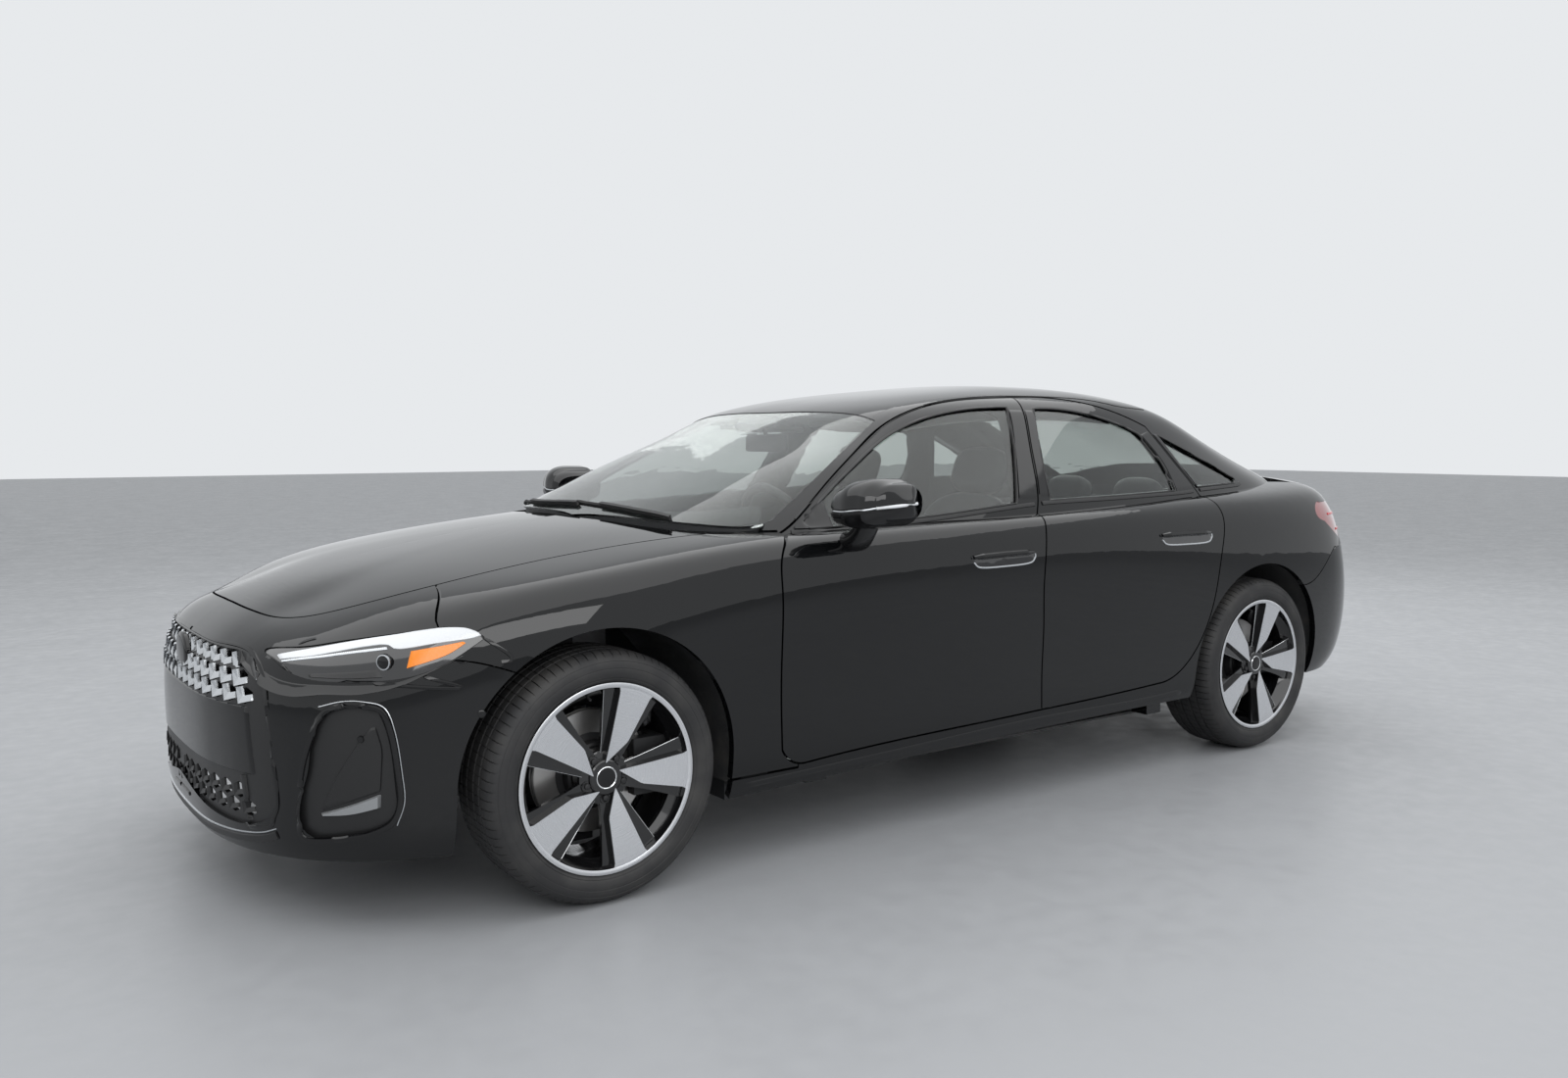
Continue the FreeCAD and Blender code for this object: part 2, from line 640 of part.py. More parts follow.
def side_frame():
    outer = slab(lower_poles, 0, skin_depth, -1136, 2414, 0, 11)
    outer = outer.common(side_prism(grown(side_region, -seam_gap / 2)))
    for hole in (front_door_cut, rear_door_cut, rear_arch, tail_lamp_cut, tailgate_cut):
        outer = outer.cut(hole)
    outer = outer.cut(block(sx(600), sx(1500), -sy(620), 0, 700, 1300))
    upper = slab(upper_poles, 0, rail_depth, -1300, 2080, 0, 7).common(side_prism(upper_region))
    for hole in (front_door_cut, rear_door_cut, screen_cut, roof_cut, tailgate_cut,
                 side_prism(quarter_window), hood_cut, fender_room, plan_prism(cowl_room)):
        upper = upper.cut(hole)
    hinge_strip = side_prism([[(-1084.7, 235)], [(-1084.7, 935)], [(-990, 935)], [(-990, 235)]])
    hinge = slab(lower_poles, skin_depth + pillar_gap, door_depth + pillar_gap, -1090, -980, 0, 9, shifted)
    hinge = hinge.common(hinge_strip).cut(fender_room)
    middle = [(x, z) for x, z in middle_line if z < 1000][::-1]
    half = door_step + panel_gap / 2 - pillar_gap

    def strip(line, width):
        ahead = [(x - width, z) for x, z in line]
        behind = [(x + width, z) for x, z in line[::-1]]
        return side_prism([ahead[:1], ahead[1:], behind[:1], behind[1:]])

    inner = door_depth + pillar_gap
    low_line = [(middle[0][0], 250)] + middle
    tongue = slab(lower_poles, skin_depth + pillar_gap, inner + overlap, 40, 240, 0, 9, shifted)
    tongue = tongue.common(strip(low_line, half))
    tongue = tongue.cut(block(0, sx(400), -body_width, 0, sz(tongue_top), body_height))
    post = slab(lower_poles, inner, inner + pillar_depth, 0, 260, 0, 9, shifted).common(strip(low_line, 60))
    top_line = [(130, 940)] + [(x, z) for x, z in middle_line[::-1] if z > 1000]
    head = slab(upper_poles, frame_depth + pillar_gap, frame_depth + rail_depth, 0, 400, 0, 7)
    head = head.common(strip(top_line[:-1] + [(300, 1400)], 45))
    sill_line = [[(-1084, 222)], [(-1084, 262)], [(-960, 264), (-585, 284), (-164, 294), (407, 305),
                                                  (768, 320)],
                 [(940, 345)], [(940, 240)]]
    sill = slab(lower_poles, skin_depth - overlap, 150, -1090, 950, 0, 3,
                shifted).common(side_prism(sill_line))
    flange_face = frame_depth + pillar_gap
    lining = slab(upper_poles, flange_face, flange_face + flange_depth, -1000, 1150, 0, 7)
    lining = lining.cut(screen_cut).cut(roof_cut)
    flanges = []
    for outline in (front_door, rear_door):
        ring_part = lining.common(side_prism(grown(outline, panel_gap)))
        flanges.append(ring_part.cut(side_prism(grown(outline, -flange_width))))
    pads = [block(sx(x), sx(x) + jack_pad_length, -sy(850), -sy(780), jack_z, sz(top))
            for x, top in jack_pads]
    return joined([outer, upper, hinge, tongue, post, head, sill] + flanges + pads)


# the cuts leave two loose ends of the door flanges, which are dropped
side = max(side_frame().Solids, key=lambda part: part.Volume)
save("side_frame_left", side)
save("side_frame_right", mirrored(side))
quarter = slab(upper_poles, glass_inset + 4, glass_inset + 4 + glass_thickness, 950, 1500, 0, 7)
quarter = quarter.common(side_prism(grown(quarter_window, -seat_gap)))
save("quarter_glasses", Part.makeCompound([quarter, mirrored(quarter)]))

print("roof, glass and lids")
roof = slab(upper_poles, 0, roof_depth, -450, 1100, 3).common(plan_prism(roof_plan, 900))
save("roof_panel", both_halves(roof))
screen = slab(upper_poles, glass_inset, glass_inset + glass_thickness, -1300, -340, 0)
screen = screen.common(plan_prism(spread(windscreen_plan, -seat_gap), 900))
save("windscreen", both_halves(screen))
hood = slab(lower_poles, 0, lid_depth, -2300, -960, 7)
hood = hood.common(plan_prism(spread(hood_plan, -panel_gap / 2), 600))
# the rear corners are thinner, so that they clear the fenders as the hood lifts
corner_relief = block(sx(-1034), sx(-1000), -sy(740), -sy(695), 0, sz(947))
hood = hood.cut(corner_relief)
save("hood", both_halves(hood))

tailgate_clip = plan_prism(spread(tailgate_plan, -panel_gap / 2), 500)
backlight_cut = plan_prism(backlight_plan, 900)
gate_frame = slab(upper_poles, 0, lid_depth, 1000, 2100, 0).common(tailgate_clip).cut(backlight_cut)
gate_frame = gate_frame.cut(block(sx(1500), sx(2200), -900, 900, 0, sz(1000)))
gate_back = slab(lower_poles, 0, lid_depth, 1900, 2414, 3).common(tailgate_clip)
gate_back = gate_back.common(block(sx(1905), sx(2500), -body_width, 0, sz(782), sz(1300)))
save("tailgate", both_halves(joined([gate_frame, gate_back])))
backlight = slab(upper_poles, glass_inset, glass_inset + glass_thickness, 1000, 2080, 0)
backlight = backlight.common(plan_prism(spread(backlight_plan, -seat_gap), 900))
save("backlight", both_halves(backlight))

print("nose and tail")
fender = slab(lower_poles, 0, skin_depth, -2020, -900, 0, 11)
fender = fender.common(side_prism(grown(fender_region, -seam_gap / 2)))
for hole in (front_door_cut, front_arch, hood_cut, lamp_cut, screen_cut, plan_prism(cowl_room)):
    fender = fender.cut(hole)
save("fender_left", fender)
save("fender_right", mirrored(fender))

nose_half = slab(lower_poles, 0, skin_depth, -2414, -1500, 0)
nose_half = nose_half.common(side_prism(grown(nose_region, -seam_gap / 2)))
for hole in (front_arch, hood_cut, lamp_cut, front_prism(grille_mouth, 0), side_prism(intake, -400)):
    nose_half = nose_half.cut(hole)
save("front_bumper", both_halves(nose_half))

grille = slab(lower_poles, 10, 22, -2414, -2100, 0, 8).common(front_prism(grille_mouth, -seat_gap))
cells = []
for z, first, count in cell_rows:
    for k in range(count):
        y = -first - cell_pitch * k
        runs = [[(y, z + cell_high / 2)], [(y - cell_wide / 2, z + cell_high / 4)],
                [(y - cell_wide / 2, z - cell_high / 4)], [(y, z - cell_high / 2)],
                [(y + cell_wide / 2, z - cell_high / 4)], [(y + cell_wide / 2, z + cell_high / 4)]]
        cells.append(front_prism(runs, 0))
grille = grille.cut(Part.makeCompound(cells))
blank = slab(lower_poles, 12, 22, -2300, -2000, 0, 8).common(side_prism(grown(intake, -seat_gap), -400))
save("grilles", Part.makeCompound([both_halves(grille), blank, mirrored(blank)]))

lamp = slab(lower_poles, 3, 60, -2414, -1800, 3, 10).common(side_prism(headlamp, -450))
save("headlamps", Part.makeCompound([lamp, mirrored(lamp)]))
tail_light = slab(lower_poles, 2, 46, 1700, 2414, 4, 12).common(side_prism(tail_lamp)).cut(tailgate_cut)
save("tail_lamps", Part.makeCompound([tail_light, mirrored(tail_light)]))
tail_half = slab(lower_poles, 0, skin_depth, 1450, 2414, 0)
tail_half = tail_half.common(side_prism(grown(tail_region, -seam_gap / 2)))
tail_half = tail_half.cut(rear_arch)
plate_face_x = sx(2408)
plate_z = 560.0
plate_hole_radius = 3.25
plate_hole_spacing = 178.0
plinth = block(plate_face_x - skin_depth, plate_face_x, -262, 262, plate_z - 57, plate_z + 57)
rear_skin = both_halves(tail_half).fuse(plinth)
for side_sign in (-1, 1):
    hole_centre = Vec(plate_face_x - 2 * skin_depth, side_sign * plate_hole_spacing / 2, plate_z)
    rear_skin = rear_skin.cut(Part.makeCylinder(plate_hole_radius, 3 * skin_depth, hole_centre, Vec(1, 0, 0)))
save("rear_bumper", rear_skin)

print("structure")
sill_inner_y = sy(742)
nose_beam_x = sx(-2230)
rail_half = 435.0
rail_width = 50.0
rail_low = 440.0
rail_high = 560.0
tower_z = 800.0
cowl_depth = 34.0
wall_half = 800.0
ledge_z = 950.0
under_floor = block(bulkhead_x + seat_gap, heel_x, -sill_inner_y, sill_inner_y, floor_z, floor_z + floor_wall)
tunnel = block(bulkhead_x + seat_gap, heel_x, -tunnel_half - floor_wall, tunnel_half + floor_wall, floor_z,
               tunnel_z + floor_wall)
heel = block(heel_x - floor_wall, heel_x, -heel_half, heel_half, floor_z, boot_floor_z + floor_wall)
boot_half = 560.0
boot_floor_top = boot_floor_z + floor_wall
boot_floor = block(heel_x - floor_wall, rear_panel_x, -boot_half, boot_half, boot_floor_z, boot_floor_top)
boot_sill_z = 760.0
rear_panel = block(rear_panel_x - floor_wall, rear_panel_x, -rear_panel_half, rear_panel_half,
                   boot_floor_z, boot_sill_z)
tunnel_room = block(bulkhead_x - 1, heel_x + 1, -tunnel_half, tunnel_half, 0, tunnel_z)
save("floor_pan", joined([under_floor, tunnel, heel, boot_floor, rear_panel]).cut(tunnel_room))

cowl_plan = [[(-1215, 0)], [(-1190, -336), (-1130, -560), (-1045, -660)], [(-1010, -700), (-930, -735)],
             [(-960, -640), (-1060, -520), (-1115, -336), (-1140, 0)]]
cowl_top = slab(lower_poles, cowl_depth, cowl_depth + 10, -1400, -880, 8).common(plan_prism(cowl_plan, 700))
ledge_plan = [[(-1180, 0)], [(-1152, -334), (-1090, -580), (-996, -704), (-930, -728)],
              [(-905, -690), (-960, -640), (-1060, -520), (-1115, -336), (-1140, 0)]]
glass_ledge = slab(upper_poles, glass_inset + glass_thickness + seat_gap, 60, -1300, -860, 0)
glass_ledge = glass_ledge.common(plan_prism(ledge_plan, 900)).cut(block(-1300, -800, -900, 0, 0, ledge_z))
shelf = block(sx(-1165), bulkhead_x, -400, 0, ledge_z - 16, ledge_z + 4)
wall = block(bulkhead_x - 20, bulkhead_x, -sy(wall_half), 0, floor_z, sz(950))
wall = wall.cut(slab(lower_poles, -60, cowl_depth, -1300, -1000, 5))
rail = block(sx(-2200), bulkhead_x - 10, -rail_half - rail_width / 2, -rail_half + rail_width / 2,
             rail_low, rail_high)
tower = block(front_axle_x - 150, front_axle_x + 150, -640, -rail_half, tower_z, tower_z + 12)
liner_outer = arch_radius + liner_clearance + liner_wall
liner_rest_x = 120.0
liner_rest_z = arch_centre_z + math.sqrt(liner_outer**2 - liner_rest_x**2) + seat_gap
rests = [block(min(x, x + turn * 30), max(x, x + turn * 30), -560, -520, liner_rest_z, tower_z + 12)
         for turn, x in ((-1, front_axle_x - liner_rest_x), (1, front_axle_x + liner_rest_x))]
tower_wall = block(front_axle_x - 90, front_axle_x + 90, -rail_half - 12, -rail_half,
                   rail_high - 10, tower_z + 12)
beam = block(nose_beam_x, nose_beam_x + 60, -sy(520), 0, rail_low - 10, rail_high + 10)
bulkhead_half = joined([wall, rail, tower, tower_wall, beam, cowl_top, glass_ledge, shelf] + rests)
save("bulkhead", both_halves(bulkhead_half))

engine_wide = 330.0
engine = block(sx(-2080), sx(-1240), -engine_wide, engine_wide, 250, 770)
mount_reach = rail_half - rail_width / 2 - seat_gap
engine_mounts = block(front_axle_x - 60, front_axle_x + 40, -mount_reach, mount_reach, 480, 530)
save("engine_block", engine.fuse(engine_mounts))

print("arch liners")


def arch_liner(axle_x, inner_y, closed):
    inner = arch_radius + liner_clearance
    outer = liner_outer
    far = -sy(900)
    ring_part = cylinder_y(outer, axle_x, arch_centre_z, far, -inner_y)
    ring_part = ring_part.cut(cylinder_y(inner, axle_x, arch_centre_z, far - 1, -inner_y + 1))
    ring_part = ring_part.common(block(axle_x - outer, axle_x + outer, far, 0, arch_centre_z - 90, 900))
    ring_part = ring_part.cut(slab(lower_poles, -80, skin_depth + seat_gap, axle_x - 520, axle_x + 520, 0, 8))
    pieces = [ring_part]
    if closed:
        disc = cylinder_y(outer, axle_x, arch_centre_z, -inner_y - liner_wall, -inner_y)
        pieces.append(disc.common(block(axle_x - outer, axle_x + outer, -1000, 0, arch_centre_z + 60, 900)))
    return joined(pieces)


rear_liner_y = 640.0
front_liner = arch_liner(front_axle_x, liner_inner_y, False)
front_liner = front_liner.cut(block(front_axle_x - 110, front_axle_x + 110, -760, 0, 700, 900))
rear_liner = arch_liner(rear_axle_x, rear_liner_y, True)
save("arch_liners", Part.makeCompound([front_liner, mirrored(front_liner), rear_liner, mirrored(rear_liner)]))

print("wheels")
bead_half = 108.0
tyre_half = tyre_width / 2
widest_radius = 300.0
tread_half = 92.0
side_lean = (tyre_half - bead_half) / (widest_radius - bead_radius)
lip_wall = 3.5
lip_inner = bead_half + seat_gap + (rim_lip_radius - bead_radius) * side_lean
lip_half = lip_inner + lip_wall
barrel_outer = bead_radius - seat_gap
barrel_inner = barrel_outer - rim_wall
hub_face = -96.0
hub_back = -45.0
disc_back = 21.0
spindle_tip = -72.0
spoke_face = -102.0
spoke_depth = 26.0
shelf_drop = 16.5
shelf_depth = 13.0
spoke_phase = -2.8
lug_phase = -18.0
# outlines of one spoke and of the darker shelf under it, as shares of the barrel's inner radius
spoke_outline = [(0.163, 0.073), (0.432, 0.116), (1.010, 0.210), (1.010, -0.210), (0.449, -0.107)]
shelf_outline = [(0.167, 0.120), (0.539, 0.244), (0.941, 0.385), (0.963, -0.329), (0.539, -0.201),
                 (0.167, -0.116)]


def tyre():
    runs = [[(bead_radius, -bead_half)], [(widest_radius, -tyre_half)], [(tyre_radius, -tread_half)],
            [(tyre_radius, tread_half)], [(widest_radius, tyre_half)], [(bead_radius, bead_half)]]
    return turned(runs, 0, 0)


def spoke_plate(outline, y_face, depth):
    runs = [[(along * barrel_inner, across * barrel_inner)] for along, across in outline]
    return side_bar(runs, y_face, y_face + depth)


def rim():
    seat_half = bead_half + seat_gap
    runs = [[(barrel_inner, lip_half)], [(barrel_inner, -lip_half)], [(rim_lip_radius, -lip_half)],
            [(rim_lip_radius, -lip_inner)], [(barrel_outer, -seat_half)], [(barrel_outer, seat_half)],
            [(rim_lip_radius, lip_inner)], [(rim_lip_radius, lip_half)]]
    parts = [turned(runs, 0, 0), cylinder_y(hub_radius, 0, 0, hub_face, hub_back + 10)]
    parts.append(cylinder_y(hub_radius - 4, 0, 0, hub_back, disc_back))
    parts.append(cylinder_y(disc_radius, 0, 0, disc_back - disc_thickness, disc_back))
    spoke = joined([spoke_plate(spoke_outline, spoke_face, spoke_depth),
                    spoke_plate(shelf_outline, spoke_face + shelf_drop, shelf_depth)])
    for k in range(spoke_count):
        turn = spoke.copy()
        turn.rotate(Vec(0, 0, 0), Vec(0, 1, 0), -spoke_phase - 360 / spoke_count * k)
        parts.append(turn)
    wheel = joined(parts)
    bore = cylinder_y(spindle_radius + running_clearance, 0, 0, spindle_tip - 3, disc_back + 1)
    wheel = wheel.cut(bore)
    for k in range(lug_count):
        turn = math.radians(lug_phase + 360 / lug_count * k)
        hole = cylinder_y(lug_hole_radius, lug_circle / 2 * math.cos(turn), lug_circle / 2 * math.sin(turn),
                          spoke_face - 1, hub_back + 1)
        wheel = wheel.cut(hole)
    return wheel


left_tyre = tyre()
left_rim = rim()
for end, axle_x in (("front", front_axle_x), ("rear", rear_axle_x)):
    for name, shape in (("tyre", left_tyre), ("wheel", left_rim)):
        moved = shape.copy()
        moved.translate(Vec(axle_x, -track_half, tyre_radius))
        save(name + "_" + end + "_left", moved)
        save(name + "_" + end + "_right", mirrored(moved))

print("suspension")
axle_z = tyre_radius
spindle_back = 60.0
flange_gap = 6.0
flange_radius = 62.0
boss_radius = 24.0
lower_boss = (165.0, 215.0)
upper_boss = (702.0, 745.0)
neck_y = -640.0
neck_half = 15.0
arm_z = 128.0
arm_wall = 20.0
upper_arm_z = 752.0
damper_y = -548.0
damper_radius = 34.0
caliper_start = 110.0
front_caliper = {"end": 212, "cover": 42, "back": 6, "half": 78, "bracket": 50}
rear_caliper = {"end": 205, "cover": 32, "back": 0, "half": 62, "bracket": 40}


def carrier(x):
    y = -track_half
    parts = [cylinder_y(spindle_radius, x, axle_z, y + spindle_tip, y + spindle_back)]
    parts.append(cylinder_y(flange_radius, x, axle_z, y + disc_back + flange_gap, y + spindle_back))
    return parts


# a caliper behind the axle that straddles the disc, and the bracket that carries it
def caliper(x, sizes):
    y = -track_half
    grip = block(x + caliper_start, x + sizes["end"], y + disc_back - disc_thickness - sizes["cover"],
                 y + spindle_back + sizes["back"], axle_z - sizes["half"], axle_z + sizes["half"])
    slot = block(x + caliper_start - 20, x + disc_radius + flange_gap,
                 y + disc_back - disc_thickness - flange_gap,
                 y + disc_back + flange_gap, axle_z - 90, axle_z + 90)
    bracket = block(x + 30, x + 150, y + disc_back + flange_gap, y + spindle_back,
                    axle_z - sizes["bracket"], axle_z + sizes["bracket"])
    return [grip.cut(slot), bracket]


def knuckle():
    x = front_axle_x
    parts = carrier(x)
    y = -track_half
    face = y + disc_back + flange_gap + 8
    parts.append(block(x - 40, x + 40, face, y + spindle_back + 20, lower_boss[0], 460))
    parts.append(block(x - 30, x + 30, face, -kingpin_y, lower_boss[0], lower_boss[1]))
    parts.append(block(x - 26, x + 26, face, neck_y + neck_half, 420, 460))
    parts.append(block(x - 22, x + 22, neck_y - neck_half, neck_y + neck_half, 420, upper_boss[1]))
    parts.append(block(x - 20, x + 20, -kingpin_y, neck_y + neck_half, upper_boss[0] + 3, upper_boss[1]))
    parts.append(cylinder_z(boss_radius, x, -kingpin_y, lower_boss[0], lower_boss[1]))
    parts.append(cylinder_z(boss_radius, x, -kingpin_y, upper_boss[0], upper_boss[1]))
    parts += caliper(x, front_caliper)
    body = joined(parts)
    hole = cylinder_z(kingpin_radius + running_clearance, x, -kingpin_y, 0, 900)
    return body.cut(hole)


def front_side():
    x = front_axle_x
    parts = [block(x - 40, x + 40, -kingpin_y - 26, -360, arm_z, arm_z + arm_wall)]
    parts.append(rod(14, Vec(x + 20, -640, arm_z + 10), Vec(x + 260, -380, arm_z + 14)))
    parts.append(cylinder_z(kingpin_radius, x, -kingpin_y, arm_z + 2, lower_boss[1] + 2))
    parts.append(cylinder_z(kingpin_radius, x, -kingpin_y, upper_boss[0] - 2, upper_arm_z + 4))
    parts.append(block(x - 30, x + 30, -kingpin_y - 20, -rail_half - 12 - seat_gap,
                       upper_arm_z, upper_arm_z + 16))
    parts.append(cylinder_z(damper_radius, x, damper_y, arm_z + 10, upper_arm_z + 10))
    parts.append(cylinder_z(14, x, damper_y, upper_arm_z, tower_z - seat_gap))
    parts.append(block(x + 200, x + 240, -rail_half, -380, arm_z, rail_low - seat_gap))
    return joined(parts)


front_cross = block(front_axle_x - 110, front_axle_x + 290, -400, 0, arm_z, arm_z + 55)
save("front_suspension", both_halves(joined([front_side(), front_cross])))
save("knuckle_left", knuckle())
save("knuckle_right", mirrored(knuckle()))


def rear_side():
    x = rear_axle_x
    y = -track_half
    parts = carrier(x)
    parts.append(block(x - 55, x + 55, y + disc_back + flange_gap + 8, y + spindle_back + 20, 190, 480))
    parts.append(block(x - 50, x + 50, y + spindle_back, -240, 190, 212))
    parts.append(rod(13, Vec(x, y + spindle_back + 8, 385), Vec(x, -260, 380)))
    parts.append(rod(16, Vec(x - 40, y + spindle_back, 240), Vec(x - 330, -520, 225)))
    parts.append(cylinder_y(17, x, axle_z, y + spindle_back - 5, -90))
    parts.append(cylinder_z(damper_radius, x + 8, damper_y - 30, 200, boot_floor_z - seat_gap))
    parts += caliper(x, rear_caliper)
    parts.append(block(x - 60, x + 60, -300, 0, 190, boot_floor_z - seat_gap))
    return joined(parts)


save("rear_suspension", both_halves(rear_side()))

print("cabin")
dash_half = 710.0
dash_corner_y = 664.0
cowl_side_y = 545.0
dash_front_x = bulkhead_x + seat_gap
dash = [[(dash_front_x, 560)], [(dash_front_x, 900)], [(-1000, 936), (-900, 940)], [(-800, 925), (-735, 890)],
        [(-740, 800), (-790, 760)], [(-800, 640)], [(-900, 560)]]
console_z = tunnel_z + floor_wall + seat_gap
console = [[(-800, console_z)], [(-860, 700)], [(-760, 700), (-600, 560)], [(40, 540)], [(80, 500)],
           [(80, console_z)]]
console_half = 125.0
column_tilt = math.radians(23)
wheel_centre = Vec(sx(-600), -sy(370), 905)
column_axis = Vec(math.cos(column_tilt), 0, math.sin(column_tilt))
column_radius = 11.0
grip_radius = 178.0
grip_thickness = 15.0
column_length = 230.0


def cabin_bar(runs, y_low, y_high):
    return side_bar([[(sx(x), z) for x, z in run] for run in runs], y_low, y_high)


column_start = wheel_centre - column_axis * column_length
column_bore = Part.makeCylinder(column_radius + running_clearance, column_length + 40,
                                column_start - column_axis * 10, column_axis)
pod = Part.makeCylinder(46, 120, wheel_centre - column_axis * 190, column_axis)
dash_body = joined([cabin_bar(dash, -dash_half, dash_half), pod,
                    cabin_bar(console, -console_half, console_half)])
dash_body = dash_body.cut(column_bore)
pillar_room = block(dash_front_x - 1, sx(-1000), -dash_half - 1, -dash_corner_y, 860, 1000)
ledge_room = slab(upper_poles, 0, 66, -1300, -850, 0).common(plan_prism(spread(ledge_plan, 4), 850))
cowl_side_room = block(dash_front_x - 1, sx(-925), -dash_half - 1, -cowl_side_y, 914, 1000)
for hole in (pillar_room, ledge_room, cowl_side_room):
    dash_body = dash_body.cut(hole).cut(mirrored(hole))
save("dashboard", dash_body)
grip = Part.makeTorus(grip_radius, grip_thickness, wheel_centre, column_axis)
spokes = [Part.makeCylinder(42, 34, wheel_centre - column_axis * 20, column_axis)]
spokes.append(Part.makeCylinder(column_radius, column_length, column_start, column_axis))
cross = Part.makeBox(14, 2 * grip_radius, 44, Vec(-7, -grip_radius, -22))
lower_spoke = Part.makeBox(14, 36, grip_radius, Vec(-7, -18, -grip_radius))
for bar in (cross, lower_spoke):
    bar.rotate(Vec(0, 0, 0), Vec(0, 1, 0), -math.degrees(column_tilt))
    bar.translate(wheel_centre)
    spokes.append(bar)
save("steering_wheel", joined([grip] + spokes))

seat_y = 372.0
seat_half = 226.0
seat_side = [[(-330, 300)], [(-350, 420), (-335, 470), (-290, 482)], [(0, 445), (90, 430)], [(135, 560),
                                                                                             (215, 800),
             (262, 975)], [(300, 1020), (345, 1015)], [(352, 985), (310, 740), (250, 520)], [(230, 300)]]
seat_base = [[(-260, floor_z + floor_wall)], [(-260, 310)], [(170, 310)], [(170, floor_z + floor_wall)]]
head_side = [[(300, 1010)], [(290, 1060), (300, 1130), (330, 1180)], [(385, 1182), (400, 1130), (385, 1050)],
             [(360, 1010)]]
seats = []
for centre in (-seat_y, seat_y):
    seats.append(joined([cabin_bar(seat_side, centre - seat_half, centre + seat_half),
                         cabin_bar(seat_base, centre - 200, centre + 200),
                         cabin_bar(head_side, centre - 130, centre + 130)]))
save("front_seats", Part.makeCompound(seats))
bench_half = 640.0
bench = [[(560, floor_z + floor_wall)], [(548, 430)], [(566, 466), (620, 478)], [(925, 452)], [(985, 570),
                                                                                               (1080, 820),
         (1125, 960)], [(1160, 985), (1205, 975)], [(1150, 760), (1075, 560),
                                                    (1045, boot_floor_z + floor_wall)],
         [(heel_x - floor_wall - seat_gap, boot_floor_z + floor_wall)],
         [(heel_x - floor_wall - seat_gap, floor_z + floor_wall)]]
rear_heads = [cabin_bar([[(x + 830, z - 55) for x, z in run] for run in head_side], centre - 120,
                        centre + 120)
              for centre in (-380, 0, 380)]
bench_body = joined([cabin_bar(bench, -bench_half, bench_half)] + rear_heads)
tunnel_outer = tunnel_half + floor_wall + seat_gap
tunnel_space = block(sx(500), heel_x, -tunnel_outer, tunnel_outer, 0, console_z)
save("rear_seat", bench_body.cut(tunnel_space))

print("mirrors and exhaust")
mirror_inner_y = -905.0
mirror_outer_y = -1105.0
mirror_side = [[(-800, 978)], [(-815, 1030), (-790, 1082), (-735, 1112), (-660, 1118)], [(-618, 1104),
                                                                                         (-606, 1040)],
               [(-622, 984)], [(-720, 966)]]
mirror_front = [[(mirror_inner_y, 984)], [(mirror_inner_y, 1080)], [(-945, 1108), (-1010, 1120),
                                                                    (-1070, 1112)],
                [(mirror_outer_y, 1074), (mirror_outer_y, 1040)], [(-1082, 992), (-1030, 970)], [(-950, 966)]]
mirror_plan = [[(-606, mirror_inner_y)], [(-600, mirror_outer_y + 12)], [(-640, mirror_outer_y)],
               [(-720, -1100), (-790, -1050), (-816, -980), (-812, mirror_inner_y)]]
foot_runs = [[(-790, 905)], [(-800, 975), (-780, 1000)], [(-660, 1000), (-640, 975)], [(-650, 905)]]
mirror_head = side_prism(mirror_side, mirror_inner_y, mirror_outer_y)
mirror_head = mirror_head.common(front_prism(mirror_front, 0, 0)).common(plan_prism(mirror_plan))
mirror_foot = side_prism(foot_runs, -850, -950)
mirror_left = joined([mirror_head, mirror_foot])
mirror_left = mirror_left.cut(slab(lower_poles, -seat_gap, skin_depth, -1000, -500, 6, 10))
mirror_left = max(mirror_left.Solids, key=lambda part: part.Volume)
save("mirror_left", mirror_left)
save("mirror_right", mirrored(mirror_left))
pipe_radius = 26.0
pipe_z = 225.0
pipe_low = Vec(1000, 60, pipe_z)
pipe_side = Vec(1200, 400, 268)
pipe = rod(pipe_radius, Vec(-900, 60, pipe_z), pipe_low)
pipe_joints = [Part.makeSphere(pipe_radius, point) for point in (pipe_low, pipe_side)]
muffler = block(1790, 2190, -420, 420, 215, 350)
feeds = [rod(pipe_radius, pipe_low, pipe_side), rod(pipe_radius, pipe_side, Vec(1900, 380, 275))]
tips = [rod(32, Vec(2150, side * 360, 262), Vec(2225, side * 360, 254)) for side in (-1, 1)]
hangers = [block(1960, 1990, side * 300 - 10, side * 300 + 10, 340, boot_floor_z - seat_gap)
           for side in (-1, 1)]
save("exhaust", joined([pipe, muffler] + pipe_joints + feeds + tips + hangers))
print(len(finished), "pieces")
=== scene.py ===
# Black liftback sedan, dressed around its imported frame. Metres: x rearwards, y to the car's right, z up.
import json
import math
import bpy
import bmesh
from mathutils import Matrix, Vector
from mathutils.bvhtree import BVHTree


